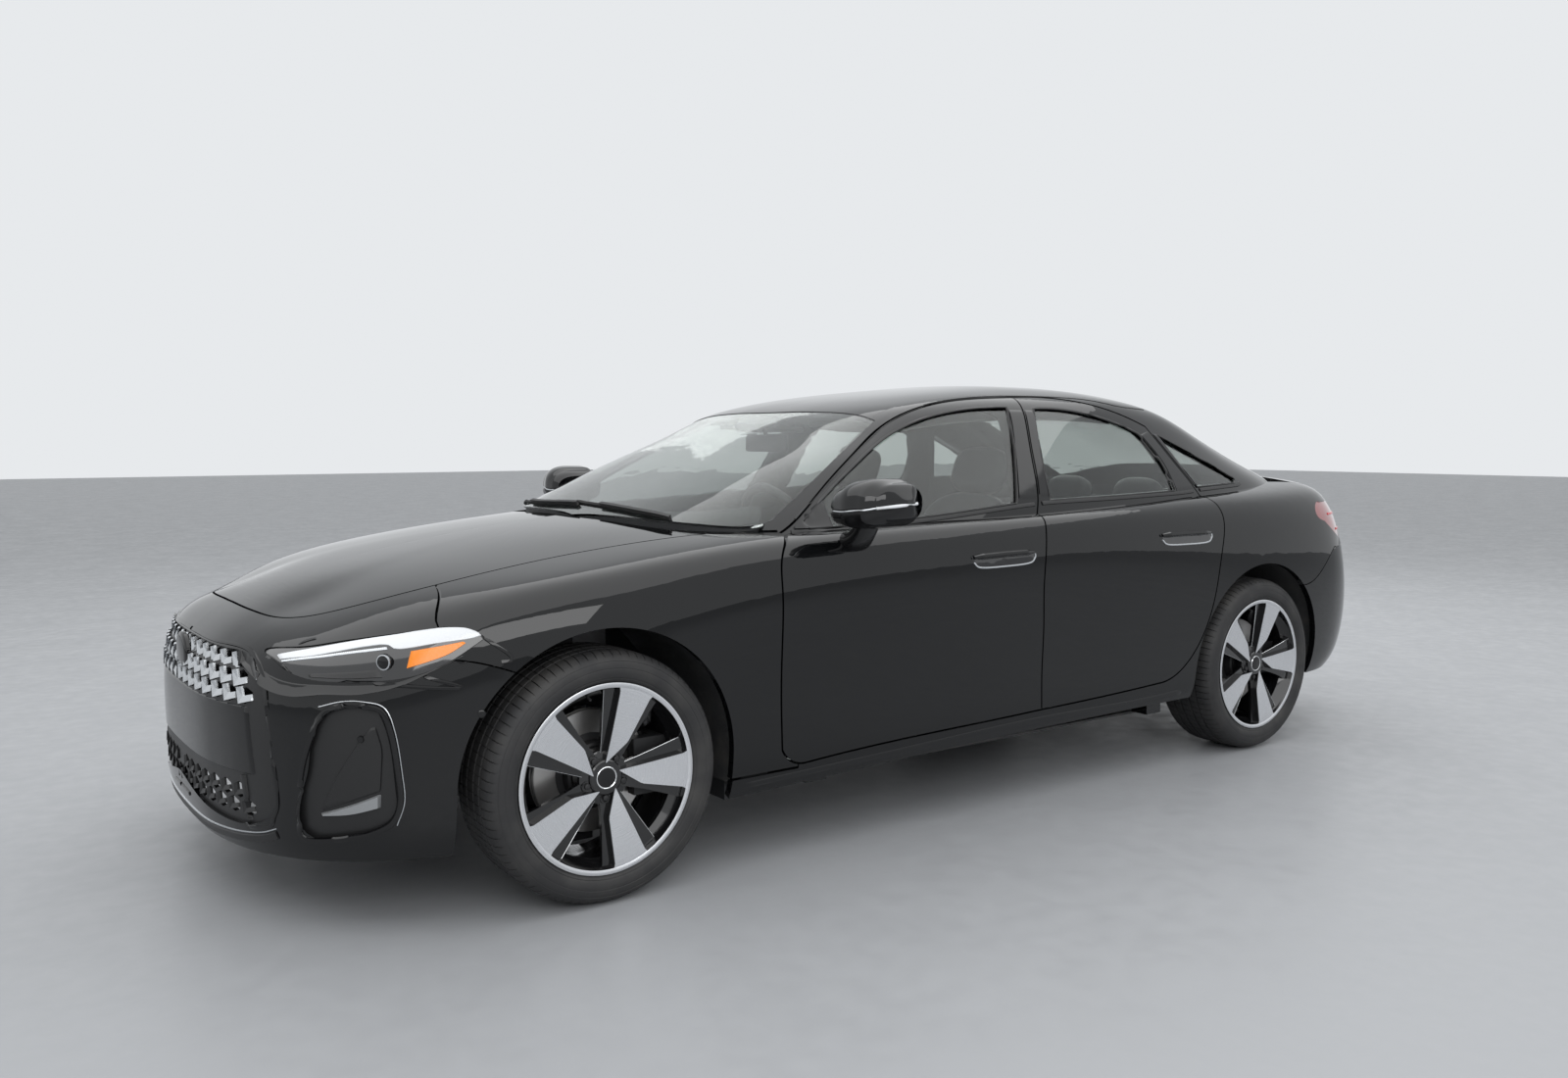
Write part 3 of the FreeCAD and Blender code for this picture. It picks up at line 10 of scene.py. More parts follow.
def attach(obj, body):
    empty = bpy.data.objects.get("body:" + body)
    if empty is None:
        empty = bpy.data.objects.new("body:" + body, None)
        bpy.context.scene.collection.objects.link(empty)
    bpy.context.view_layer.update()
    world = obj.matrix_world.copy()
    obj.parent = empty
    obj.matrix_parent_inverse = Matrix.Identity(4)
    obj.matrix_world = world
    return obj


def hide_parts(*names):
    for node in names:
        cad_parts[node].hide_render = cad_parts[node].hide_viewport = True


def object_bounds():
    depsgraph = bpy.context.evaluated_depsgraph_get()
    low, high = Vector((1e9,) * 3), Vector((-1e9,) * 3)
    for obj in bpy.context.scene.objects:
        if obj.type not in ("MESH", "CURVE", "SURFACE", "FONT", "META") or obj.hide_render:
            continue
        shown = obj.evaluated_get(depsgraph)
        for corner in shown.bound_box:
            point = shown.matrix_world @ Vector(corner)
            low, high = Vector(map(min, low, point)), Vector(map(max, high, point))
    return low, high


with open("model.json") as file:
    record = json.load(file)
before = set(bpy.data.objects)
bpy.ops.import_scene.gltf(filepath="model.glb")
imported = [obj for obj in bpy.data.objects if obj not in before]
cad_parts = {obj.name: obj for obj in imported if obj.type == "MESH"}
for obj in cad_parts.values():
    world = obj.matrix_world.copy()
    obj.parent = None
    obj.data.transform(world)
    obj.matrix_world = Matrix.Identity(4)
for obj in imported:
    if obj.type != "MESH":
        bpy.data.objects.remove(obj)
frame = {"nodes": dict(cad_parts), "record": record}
cadBox = [list(corner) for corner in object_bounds()]
nodes = frame["nodes"]
scene = bpy.context.scene
print("frame loaded:", len(nodes), "nodes")

# camera and the values of the stage
view = {"place": (-3.0676, -3.8149, 1.2359), "pitch": -0.0804, "yaw": 0.6252, "lens": 28.93,
        "backdrop": (0.8, 0.82, 0.84), "floor": (0.36, 0.37, 0.385), "light": 0.62}

lens = bpy.data.cameras.new("photoView")
lens.lens = view["lens"]
lens.sensor_width = 36
camera = bpy.data.objects.new("photoView", lens)
camera.location = view["place"]
camera.rotation_euler = (math.pi / 2 + view["pitch"], 0, -view["yaw"])
scene.collection.objects.link(camera)
scene.camera = camera
scene.view_settings.view_transform = "Standard"


# shader helpers
def shaderGroup(name, inputs, outputs):
    tree = bpy.data.node_groups.new(name, "ShaderNodeTree")
    for label, kind, value in inputs:
        socket = tree.interface.new_socket(name=label, in_out="INPUT", socket_type="NodeSocket" + kind)
        socket.default_value = value
    for label, kind in outputs:
        tree.interface.new_socket(name=label, in_out="OUTPUT", socket_type="NodeSocket" + kind)
    return tree, tree.nodes.new("NodeGroupInput").outputs, tree.nodes.new("NodeGroupOutput").inputs


def add(tree, kind, links=None, **values):
    node = tree.nodes.new("ShaderNode" + kind)
    for key, value in values.items():
        setattr(node, key, value)
    for key, value in (links or {}).items():
        if isinstance(value, bpy.types.NodeSocket):
            tree.links.new(value, node.inputs[key])
        else:
            node.inputs[key].default_value = value
    return node


def maths(tree, operation, a, b=0.0):
    return add(tree, "Math", {0: a, 1: b}, operation=operation).outputs[0]


def spread(tree, value, low, high, toLow, toHigh):
    return add(tree, "MapRange", {"Value": value, "From Min": low, "From Max": high,
                                  "To Min": toLow, "To Max": toHigh}).outputs[0]


# fine grain: a noise that varies the roughness and gives a small height
grainGroup, gIn, gOut = shaderGroup("fineGrain", [
    ("Size", "Float", 300.0), ("Detail", "Float", 3.0), ("Roughness Low", "Float", 0.3),
    ("Roughness High", "Float", 0.5)], [("Height", "Float"), ("Roughness", "Float")])
place = add(grainGroup, "TexCoord").outputs["Object"]
grain = add(grainGroup, "TexNoise", {"Vector": place, "Scale": gIn["Size"],
                                     "Detail": gIn["Detail"]}).outputs["Fac"]
patches = add(grainGroup, "TexNoise", {"Vector": place, "Scale": 3.0, "Detail": 2.0}).outputs["Fac"]
both = maths(grainGroup, "ADD", maths(grainGroup, "MULTIPLY", grain, 0.6),
             maths(grainGroup, "MULTIPLY", patches, 0.4))
grainGroup.links.new(grain, gOut["Height"])
rough = spread(grainGroup, both, 0.35, 0.65, gIn["Roughness Low"], gIn["Roughness High"])
grainGroup.links.new(rough, gOut["Roughness"])

# road dust: a paler colour that settles on upward faces and in blotches
dustGroup, gIn, gOut = shaderGroup("roadDust", [
    ("Clean", "Color", (0.02, 0.02, 0.02, 1)), ("Dust", "Color", (0.2, 0.19, 0.17, 1)),
    ("Amount", "Float", 0.2), ("Size", "Float", 12.0)], [("Color", "Color"), ("Mask", "Float")])
place = add(dustGroup, "TexCoord").outputs["Object"]
blotch = add(dustGroup, "TexNoise", {"Vector": place, "Scale": gIn["Size"], "Detail": 6.0}).outputs["Fac"]
upward = add(dustGroup, "SeparateXYZ", {0: add(dustGroup, "NewGeometry").outputs["Normal"]}).outputs[2]
settled = maths(dustGroup, "MULTIPLY", spread(dustGroup, blotch, 0.42, 0.68, 0.0, 1.0),
                spread(dustGroup, upward, -0.6, 1.0, 0.4, 1.0))
mask = maths(dustGroup, "MULTIPLY", settled, gIn["Amount"])
mixed = add(dustGroup, "Mix", {0: mask, 6: gIn["Clean"], 7: gIn["Dust"]}, data_type="RGBA")
dustGroup.links.new(mixed.outputs[2], gOut["Color"])
dustGroup.links.new(mask, gOut["Mask"])

# turned lines: rings about the y axis of the piece, as a lathe leaves on a wheel face or a disc
turnedGroup, gIn, gOut = shaderGroup("turnedLines", [
    ("Rings", "Float", 900.0), ("Roughness Low", "Float", 0.18), ("Roughness High", "Float", 0.34)],
    [("Height", "Float"), ("Roughness", "Float")])
place = add(turnedGroup, "TexCoord").outputs["Object"]
parts = add(turnedGroup, "SeparateXYZ", {0: place}).outputs
across = maths(turnedGroup, "ADD", maths(turnedGroup, "MULTIPLY", parts[0], parts[0]),
               maths(turnedGroup, "MULTIPLY", parts[2], parts[2]))
ringLine = maths(turnedGroup, "MULTIPLY", maths(turnedGroup, "POWER", across, 0.5), gIn["Rings"])
lines = add(turnedGroup, "TexNoise", {"W": ringLine, "Scale": 1.0, "Detail": 2.0},
            noise_dimensions="1D").outputs["Fac"]
turnedGroup.links.new(lines, gOut["Height"])
rough = spread(turnedGroup, lines, 0.3, 0.7, gIn["Roughness Low"], gIn["Roughness High"])
turnedGroup.links.new(rough, gOut["Roughness"])

# hide: cells of a leather or moulded skin, with the creases between the cells darkened as painted shade
hideGroup, gIn, gOut = shaderGroup("hideCells", [("Size", "Float", 420.0),
                                                 ("Shade", "Color", (0.03, 0.03, 0.03, 1)),
                                                 ("Crease", "Color", (0.01, 0.01, 0.01, 1))],
                                   [("Color", "Color"), ("Height", "Float")])
place = add(hideGroup, "TexCoord").outputs["Object"]
cells = add(hideGroup, "TexVoronoi", {"Vector": place, "Scale": gIn["Size"]},
            feature="DISTANCE_TO_EDGE").outputs[0]
height = spread(hideGroup, cells, 0.0, 0.25, 0.0, 1.0)
# the cell edges take the darker colour: painted shade in the grooves
mixed = add(hideGroup, "Mix", {0: height, 6: gIn["Crease"], 7: gIn["Shade"]}, data_type="RGBA")
hideGroup.links.new(mixed.outputs[2], gOut["Color"])
hideGroup.links.new(height, gOut["Height"])


def material(name, color, roughness, metallic=0.0, **plain):
    made = bpy.data.materials.new(name)
    made.use_nodes = True
    shader = made.node_tree.nodes["Principled BSDF"]
    shader.inputs["Base Color"].default_value = (*color, 1)
    shader.inputs["Roughness"].default_value = roughness
    shader.inputs["Metallic"].default_value = metallic
    for label, value in plain.items():
        shader.inputs[label].default_value = value
    made.diffuse_color = (*color, 1)
    return made


def useGroup(made, group, values, feeds, bump=0.0, distance=0.001):
    tree = made.node_tree
    shader = tree.nodes["Principled BSDF"]
    node = add(tree, "Group", node_tree=group)
    for label, value in values.items():
        node.inputs[label].default_value = value
    for label, socket in feeds.items():
        tree.links.new(node.outputs[label], shader.inputs[socket])
    if bump:
        lift = add(tree, "Bump", {"Height": node.outputs["Height"], "Strength": bump, "Distance": distance})
        tree.links.new(lift.outputs[0], shader.inputs["Normal"])


def grained(name, color, low, high, size=300.0, bump=0.1, metallic=0.0, distance=0.0005, **plain):
    made = material(name, color, (low + high) / 2, metallic, **plain)
    useGroup(made, grainGroup, {"Size": size, "Roughness Low": low, "Roughness High": high},
             {"Roughness": "Roughness"}, bump, distance)
    return made


def dusty(made, clean, dust, amount, size=12.0):
    useGroup(made, dustGroup, {"Clean": (*clean, 1), "Dust": (*dust, 1), "Amount": amount, "Size": size},
             {"Color": "Base Color"})


def turnedMetal(name, color, low, high, rings=900.0, bump=0.05):
    made = material(name, color, (low + high) / 2, 1.0)
    useGroup(made, turnedGroup, {"Rings": rings, "Roughness Low": low, "Roughness High": high},
             {"Roughness": "Roughness"}, bump, 0.0002)
    return made


# crease is the darker colour painted into the grooves of the grain as shade
def hide(name, shade, crease, roughness, size=420.0, bump=0.25):
    made = material(name, shade, roughness)
    useGroup(made, hideGroup, {"Size": size, "Shade": (*shade, 1), "Crease": (*crease, 1)},
             {"Color": "Base Color"}, bump, 0.0004)
    return made


paint = grained("glossBlackPaint", (0.0035, 0.0037, 0.0042), 0.16, 0.24, size=900.0, bump=0.02,
                **{"Coat Weight": 1.0, "Coat Roughness": 0.012, "Coat IOR": 1.5, "Specular IOR Level": 0.0})
pianoBlack = grained("pianoBlack", (0.004, 0.004, 0.0045), 0.03, 0.07, size=40.0, bump=0.0)
satinTrim = grained("satinTrim", (0.012, 0.012, 0.0125), 0.38, 0.5, size=1400.0, bump=0.12)
darkPlastic = grained("grainedPlastic", (0.018, 0.018, 0.019), 0.5, 0.62, size=1100.0, bump=0.25)
clear = {}
for name, tint, bend, size, high in (("tintedGlass", (0.6, 0.64, 0.62), 1.45, 4.0, 0.008),
                                     ("clearLens", (0.93, 0.95, 0.96), 1.35, 6.0, 0.01)):
    clear[name] = material(name, tint, 0.0, **{"Transmission Weight": 1.0, "IOR": bend})
    useGroup(clear[name], grainGroup, {"Size": size, "Roughness Low": 0.0, "Roughness High": high},
             {"Roughness": "Roughness"})
glass, clearLens = clear["tintedGlass"], clear["clearLens"]
machined = turnedMetal("machinedAlloy", (0.72, 0.73, 0.75), 0.24, 0.36)
discSteel = turnedMetal("groundDisc", (0.5, 0.49, 0.48), 0.28, 0.44, rings=1500.0, bump=0.1)
silver = grained("satinSilver", (0.66, 0.68, 0.7), 0.22, 0.32, size=700.0, bump=0.04, metallic=1.0)
brightLine = grained("brightLine", (0.82, 0.83, 0.84), 0.08, 0.14, size=90.0, bump=0.0, metallic=1.0)
castBlack = grained("castBlack", (0.016, 0.016, 0.017), 0.4, 0.55, size=600.0, bump=0.3)
rimBlack = grained("rimGlossBlack", (0.006, 0.006, 0.0065), 0.07, 0.13, size=200.0, bump=0.01,
                   **{"Coat Weight": 0.6, "Coat Roughness": 0.03})
rubber = grained("tyreRubber", (0.022, 0.022, 0.023), 0.62, 0.78, size=800.0, bump=0.3)
dusty(rubber, (0.02, 0.02, 0.021), (0.075, 0.072, 0.067), 0.55, 9.0)
sealRubber = grained("sealRubber", (0.01, 0.01, 0.01), 0.55, 0.7, size=500.0, bump=0.15)
underSteel = grained("underBody", (0.045, 0.046, 0.048), 0.5, 0.68, size=120.0, bump=0.25)
dusty(underSteel, (0.04, 0.041, 0.043), (0.13, 0.12, 0.105), 0.5)
bareSteel = grained("pressedSteel", (0.03, 0.031, 0.033), 0.42, 0.55, size=160.0, bump=0.15)
castMetal = grained("castAlloy", (0.34, 0.34, 0.35), 0.38, 0.52, size=220.0, bump=0.35, metallic=1.0)
dusty(castMetal, (0.34, 0.34, 0.35), (0.22, 0.2, 0.17), 0.45, 20.0)
pipeSteel = grained("pipeSteel", (0.42, 0.4, 0.37), 0.3, 0.45, size=150.0, bump=0.15, metallic=1.0)
dusty(pipeSteel, (0.44, 0.42, 0.4), (0.24, 0.18, 0.13), 0.5, 18.0)
# the second colour of each hide is painted shade for its creases
leather = hide("seatLeather", (0.03, 0.03, 0.032), (0.012, 0.012, 0.013), 0.42)
leatherInsert = hide("seatInsert", (0.036, 0.036, 0.038), (0.014, 0.014, 0.015), 0.55, size=900.0,
                     bump=0.35)
cabinSkin = hide("cabinSkin", (0.022, 0.022, 0.023), (0.01, 0.01, 0.01), 0.6, size=600.0, bump=0.3)
headLining = grained("headLining", (0.46, 0.45, 0.43), 0.85, 0.95, size=1600.0, bump=0.35)
carpet = grained("carpet", (0.016, 0.016, 0.017), 0.9, 1.0, size=900.0, bump=0.8, distance=0.002)
amber = grained("amberLens", (0.95, 0.27, 0.02), 0.1, 0.2, size=300.0, bump=0.02)
redLens = grained("redLens", (0.24, 0.004, 0.008), 0.06, 0.12, size=300.0, bump=0.02,
                  **{"Coat Weight": 1.0})
redGlow = grained("redGlow", (0.62, 0.012, 0.02), 0.1, 0.18, size=300.0, bump=0.02)
whiteLens = grained("whiteLamp", (0.8, 0.82, 0.84), 0.12, 0.2, size=260.0, bump=0.02)
screenGlass = grained("screenGlass", (0.004, 0.0045, 0.006), 0.04, 0.09, size=30.0, bump=0.0)
plateBlank = grained("blankPlate", (0.62, 0.63, 0.64), 0.35, 0.5, size=500.0, bump=0.05)
print("materials ready:", len(bpy.data.materials))

slotMaterials = {"body_paint": paint, "window_glass": glass, "trim_black": satinTrim,
                 "lamp_lens": clearLens, "tail_lens": redLens, "under_body": underSteel,
                 "structure_steel": bareSteel, "engine_metal": castMetal, "suspension_steel": castBlack,
                 "rim_metal": rimBlack, "tyre_rubber": rubber, "exhaust_steel": pipeSteel,
                 "seat_leather": leather, "cabin_plastic": cabinSkin}

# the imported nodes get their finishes
slotOf = {entry["node"]: entry["material_slot"] for entry in frame["record"]["subparts"]}
for name, node in nodes.items():
    node.data.materials.clear()
    node.data.materials.append(slotMaterials[slotOf.get(name, "body_paint")])


# building helpers: a piece rides on the shell unless its call says otherwise
onShell = ("shell", "shell")


def meshPiece(name, verts, faces, look, body="shell", sharp=35, at=(0, 0, 0), slotName="trim_black"):
    mesh = bpy.data.meshes.new(name)
    inside = [[max(low, min(high, c)) for c, low, high in zip(v, *cadBox)] for v in verts]
    mesh.from_pydata([Vector(v) - Vector(at) for v in inside], [], faces)
    mesh.validate()
    mesh.materials.append(look)
    shaped = bmesh.new()
    shaped.from_mesh(mesh)
    bmesh.ops.remove_doubles(shaped, verts=shaped.verts, dist=1e-6)
    bmesh.ops.recalc_face_normals(shaped, faces=shaped.faces)
    shaped.to_mesh(mesh)
    shaped.free()
    mesh.shade_smooth()
    mesh.set_sharp_from_angle(angle=math.radians(sharp))
    obj = bpy.data.objects.new(name, mesh)
    obj.location = at
    scene.collection.objects.link(obj)
    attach(obj, body)
    return obj


def merge(*shapes):
    verts, faces = [], []
    for moreVerts, moreFaces in shapes:
        start = len(verts)
        verts += [Vector(v) for v in moreVerts]
        faces += [tuple(i + start for i in face) for face in moreFaces]
    return verts, faces


def flipped(shape):
    verts, faces = shape
    return [Vector((v[0], -v[1], v[2])) for v in verts], [tuple(reversed(face)) for face in faces]


# a left piece and its twin on the right
def pair(name, shape, look, bodies=onShell, **more):
    left = meshPiece(name + "Left", *shape, look, bodies[0], **more)
    right = meshPiece(name + "Right", *flipped(shape), look, bodies[1], **more)
    return left, right


def gridFaces(rows, columns, closedRows=False, closedColumns=False, start=0):
    faces = []
    for i in range(rows if closedRows else rows - 1):
        for j in range(columns if closedColumns else columns - 1):
            a, b = start + i * columns, start + (i + 1) % rows * columns
            k = (j + 1) % columns
            faces.append((a + j, a + k, b + k, b + j))
    return faces


def resample(points, count, smooth=True, closed=False):
    pts = [Vector(p) for p in points]
    dense = []
    n = len(pts)
    for i in range(n if closed else n - 1):
        p1, p2 = pts[i], pts[(i + 1) % n]
        p0 = pts[i - 1] if (closed or i > 0) else p1 * 2 - p2
        p3 = pts[(i + 2) % n] if (closed or i + 2 < n) else p2 * 2 - p1
        for k in range(12):
            t = k / 12
            if smooth:
                dense.append(0.5 * (2 * p1 + (p2 - p0) * t + (2 * p0 - 5 * p1 + 4 * p2 - p3) * t * t
                                    + (3 * p1 - p0 - 3 * p2 + p3) * t ** 3))
            else:
                dense.append(p1.lerp(p2, t))
    dense.append(pts[0].copy() if closed else pts[-1].copy())
    run = [0.0]
    for a, b in zip(dense, dense[1:]):
        run.append(run[-1] + (b - a).length)
    steps = count if closed else count - 1
    out, k = [], 0
    for i in range(count):
        want = run[-1] * i / steps
        while k < len(run) - 2 and run[k + 1] < want:
            k += 1
        span = run[k + 1] - run[k]
        out.append(dense[k].lerp(dense[k + 1], (want - run[k]) / span if span > 1e-9 else 0.0))
    return out


def treeOf(*names):
    verts, faces = [], []
    for name in names:
        data = nodes[name].data
        start = len(verts)
        verts += [v.co.copy() for v in data.vertices]
        faces += [tuple(i + start for i in face.vertices) for face in data.polygons]
    return BVHTree.FromPolygons(verts, faces)


skin = treeOf("hood", "fender_left", "front_bumper", "rear_bumper", "door_front_left", "door_rear_left",
              "side_frame_left", "roof_panel", "tailgate", "windscreen", "glass_front_left",
              "glass_rear_left", "quarter_glasses", "backlight", "headlamps", "tail_lamps", "grilles")


core = {"front": -1.9, "rear": 1.7, "height": 0.62}


# nearest place on the skin, with its outward normal
def snapped(point, tree=skin):
    place, normal = tree.find_nearest(Vector(point))[:2]
    middle = Vector((max(core["front"], min(core["rear"], place.x)), 0, core["height"]))
    if normal.dot(place - middle) < 0:
        normal = -normal
    return place, normal


def cast(start, direction, tree=skin, reach=3.0):
    place, normal = tree.ray_cast(Vector(start), Vector(direction).normalized(), reach)[:2]
    if place is None:
        return snapped(Vector(start), tree)
    if normal.dot(Vector(direction)) > 0:
        normal = -normal
    return place, normal


def laid(points, count, tree=skin, smooth=True, closed=False):
    spots = [snapped(p, tree) for p in resample(points, count, smooth, closed)]
    path = [s[0] for s in spots]
    normals = [s[1] for s in spots]
    # normals are averaged, so a seam doesn't twist the strip
    eased = []
    n = len(normals)
    for i in range(n):
        total = Vector()
        for k in (-2, -1, 0, 1, 2):
            total += normals[(i + k) % n if closed else max(0, min(n - 1, i + k))]
        eased.append(total.normalized())
    return path, eased


def sweep(path, normals, profile, closed=False, taper=None):
    verts, count = [], len(path)
    for i, point in enumerate(path):
        before = path[i - 1] if (closed or i > 0) else point
        after = path[(i + 1) % count] if (closed or i + 1 < count) else point
        forward = (after - before).normalized()
        side = forward.cross(normals[i]).normalized()
        size = taper(i / (count - 1)) if taper else 1.0
        for across, out in profile:
            verts.append(point + side * across * size + normals[i] * out * size)
    faces = gridFaces(count, len(profile), closedRows=closed, closedColumns=True)
    if not closed:
        faces.append(tuple(range(len(profile)))[::-1])
        faces.append(tuple(range((count - 1) * len(profile), count * len(profile))))
    return verts, faces


def tube(points, radius, count=40, sides=10, smooth=True, closed=False):
    path = resample(points, count, smooth, closed)
    profile = [(radius * math.cos(2 * math.pi * k / sides), radius * math.sin(2 * math.pi * k / sides))
               for k in range(sides)]
    normals = []
    guide = Vector((0.13, 0.21, 0.97))
    for i in range(len(path)):
        forward = (path[min(i + 1, len(path) - 1)] - path[max(i - 1, 0)]).normalized()
        if abs(forward.dot(guide)) > 0.95:
            guide = Vector((0.8, 0.5, 0.1))
        guide = (guide - forward * guide.dot(forward)).normalized()
        normals.append(guide.copy())
    return sweep(path, normals, profile, closed)


# a skin between two rails that follows the panel under it, lifted, with rounded edges
def patch(railA, railB, columns, rows, lift, tree=skin, edge=0.0015, sink=0.0012, crown=None):
    a, b = resample(railA, columns), resample(railB, columns)
    shares = [0.0] + [k / (rows - 1) for k in range(rows)] + [1.0]
    verts = []
    for i in range(columns):
        rim = min(0.45, edge / max((b[i] - a[i]).length, 1e-6))
        for j, share in enumerate(shares):
            atEdge = j in (0, len(shares) - 1)
            inner = share if atEdge else min(max(share, rim), 1 - rim)
            place, normal = snapped(a[i].lerp(b[i], inner), tree)
            full = lift * (crown(i / (columns - 1), share) if crown else 1.0)
            verts.append(place + normal * (-sink if atEdge or i in (0, columns - 1) else full))
    return verts, gridFaces(columns, len(shares))


def revolve(profile, steps, axis="y", centre=(0, 0, 0)):
    verts = []
    for k in range(steps):
        turn = 2 * math.pi * k / steps
        for radius, out in profile:
            u, v = radius * math.cos(turn), radius * math.sin(turn)
            spot = {"x": (out, u, v), "y": (u, -out, v), "z": (u, v, out)}[axis]
            verts.append(Vector(spot) + Vector(centre))
    return verts, gridFaces(steps, len(profile), closedRows=True, closedColumns=True)


# a solid between a grid of points and the same grid moved by drop
def slabFrom(grid, drop):
    rows, columns = len(grid), len(grid[0])
    top = [p for line in grid for p in line]
    under = [p + Vector(drop) for p in top]
    faces = gridFaces(rows, columns)
    low = len(top)
    faces += [tuple(reversed(face)) for face in gridFaces(rows, columns, start=low)]
    rim = [i * columns for i in range(rows)] + [(rows - 1) * columns + j for j in range(1, columns)]
    rim += [i * columns + columns - 1 for i in range(rows - 2, -1, -1)] + list(range(columns - 2, 0, -1))
    for a, b in zip(rim, rim[1:] + rim[:1]):
        faces.append((a, b, b + low, a + low))
    return top + under, faces


# a rounded block
def boxy(low, high, bevel=0.004, steps=2):
    made = bmesh.new()
    bmesh.ops.create_cube(made, size=1.0)
    size = Vector(high) - Vector(low)
    middle = (Vector(high) + Vector(low)) / 2
    for v in made.verts:
        v.co = Vector((v.co.x * size.x, v.co.y * size.y, v.co.z * size.z)) + middle
    bmesh.ops.bevel(made, geom=made.edges[:], offset=bevel, segments=steps, affect="EDGES", profile=0.5)
    made.verts.index_update()
    shape = [v.co.copy() for v in made.verts], [tuple(v.index for v in face.verts) for face in made.faces]
    made.free()
    return shape


def turnedAbout(shape, point, axis, angle):
    there, back = Matrix.Translation(Vector(point)), Matrix.Translation(-Vector(point))
    matrix = there @ Matrix.Rotation(angle, 4, axis) @ back
    return [matrix @ Vector(v) for v in shape[0]], shape[1]


# wheels and tyres
wheelValues = {"rimRadius": 0.2525, "faceHub": 0.099, "faceRim": 0.1125, "spokes": 5,
               "phase": -2.8, "lugPhase": -18.0, "lugCircle": 0.056,
               "track": 0.7925, "faceThick": 0.0012, "bodyThick": 0.02, "bodyDrop": 0.001,
               "bodyWiden": 0.0075, "shelfDrop": 0.0165, "shelfThick": 0.013, "lineDrop": 0.016,
               "lineRadius": 0.0009}
tyreValues = {"radius": 0.3393, "pitches": 84, "grooveDepth": 0.0068, "grooves": (0.021, 0.056),
              "grooveHalf": 0.0042}


# a place on the left wheel: angle in degrees, as seen from outside
def onWheel(angle, radius, out):
    turn = math.radians(angle)
    return Vector((radius * math.cos(turn), -out, radius * math.sin(turn)))


# the spokes lean inwards towards the hub
def faceOut(radius):
    share = max(0.0, min(1.0, (radius - 0.05) / 0.19))
    return wheelValues["faceHub"] + (wheelValues["faceRim"] - wheelValues["faceHub"]) * share ** 0.8


def spokeGrid(sideA, sideB, middle, drop, widen=0.0, columns=26, rows=7):
    grid = []
    a = resample([Vector((*p, 0)) for p in sideA], columns, smooth=False)
    b = resample([Vector((*p, 0)) for p in sideB], columns, smooth=False)
    for pa, pb in zip(a, b):
        line = []
        across = (pb - pa).normalized() * widen
        for j in range(rows):
            p = (pa - across).lerp(pb + across, j / (rows - 1)) * wheelValues["rimRadius"]
            radius = min(p.length, 0.2455)
            angle = math.degrees(math.atan2(p.y, p.x)) + middle
            line.append(onWheel(angle, radius, faceOut(radius) - drop))
        grid.append(line)
    return grid


faceSideA = [(0.15, 0.068), (0.4, 0.105), (0.9, 0.186), (0.955, 0.215), (0.972, 0.262)]
faceSideB = [(0.15, 0.06), (0.415, -0.1), (0.9, -0.183), (0.955, -0.212), (0.972, -0.255)]
shelfSideA = [(0.155, 0.11), (0.5, 0.225), (0.86, 0.35), (0.905, 0.385)]
shelfSideB = [(0.155, -0.105), (0.5, -0.185), (0.88, -0.3), (0.925, -0.335)]
inward = Vector((0, 1, 0))

faceShapes, shelfShapes, bodyShapes, lineShapes = [], [], [], []
for k in range(wheelValues["spokes"]):
    middle = wheelValues["phase"] + 72 * k
    faceShapes.append(slabFrom(spokeGrid(faceSideA, faceSideB, middle, 0.0),
                               inward * wheelValues["faceThick"]))
    bodyShapes.append(slabFrom(spokeGrid(faceSideA, faceSideB, middle, wheelValues["bodyDrop"],
                                         widen=wheelValues["bodyWiden"]),
                               inward * wheelValues["bodyThick"]))
    shelfShapes.append(slabFrom(spokeGrid(shelfSideA, shelfSideB, middle, wheelValues["shelfDrop"]),
                                inward * wheelValues["shelfThick"]))
    edge = []
    for along, across in shelfSideA[:3]:
        radius = math.hypot(along, across) * wheelValues["rimRadius"]
        edge.append(onWheel(math.degrees(math.atan2(across, along)) + middle, radius,
                            faceOut(radius) - wheelValues["lineDrop"]))
    lineShapes.append(tube(edge, wheelValues["lineRadius"], 24, 6))

rimProfile = [(0.2562, 0.1138), (0.2562, 0.109), (0.244, 0.1085), (0.2425, 0.095), (0.2265, 0.075),
              (0.2225, -0.05), (0.2425, -0.085), (0.244, -0.1085), (0.2562, -0.109), (0.2562, -0.1138),
              (0.249, -0.1138), (0.24, -0.108), (0.237, -0.085), (0.2165, -0.05), (0.2195, 0.072),
              (0.237, 0.094), (0.2405, 0.106), (0.243, 0.112), (0.247, 0.1136)]
lipProfile = [(0.256, 0.1128), (0.256, 0.1143), (0.2545, 0.115), (0.247, 0.1147), (0.2428, 0.113),
              (0.2428, 0.1105), (0.247, 0.112)]
hubProfile = [(0.0, 0.0985), (0.03, 0.0985), (0.034, 0.099), (0.044, 0.0975), (0.0475, 0.0945),
              (0.049, 0.088), (0.064, 0.0865), (0.073, 0.0835), (0.0755, 0.077), (0.0755, 0.04),
              (0.0, 0.04)]
barrel = revolve(rimProfile, 128)
hub = revolve(hubProfile, 72)
lugs, lugSeats = [], []
for k in range(5):
    angle = wheelValues["lugPhase"] + 72 * k
    centre = onWheel(angle, wheelValues["lugCircle"], 0)
    bolt = [(0.0, 0.0945), (0.0055, 0.0945), (0.0078, 0.0935), (0.0085, 0.0915), (0.0085, 0.0855),
            (0.0105, 0.0845), (0.0105, 0.082), (0.0, 0.082)]
    lugs.append(revolve(bolt, 12, centre=centre))
    lugSeats.append(revolve([(0.0122, 0.0878), (0.0148, 0.0882), (0.016, 0.086), (0.0122, 0.0835)], 24,
                            centre=centre))
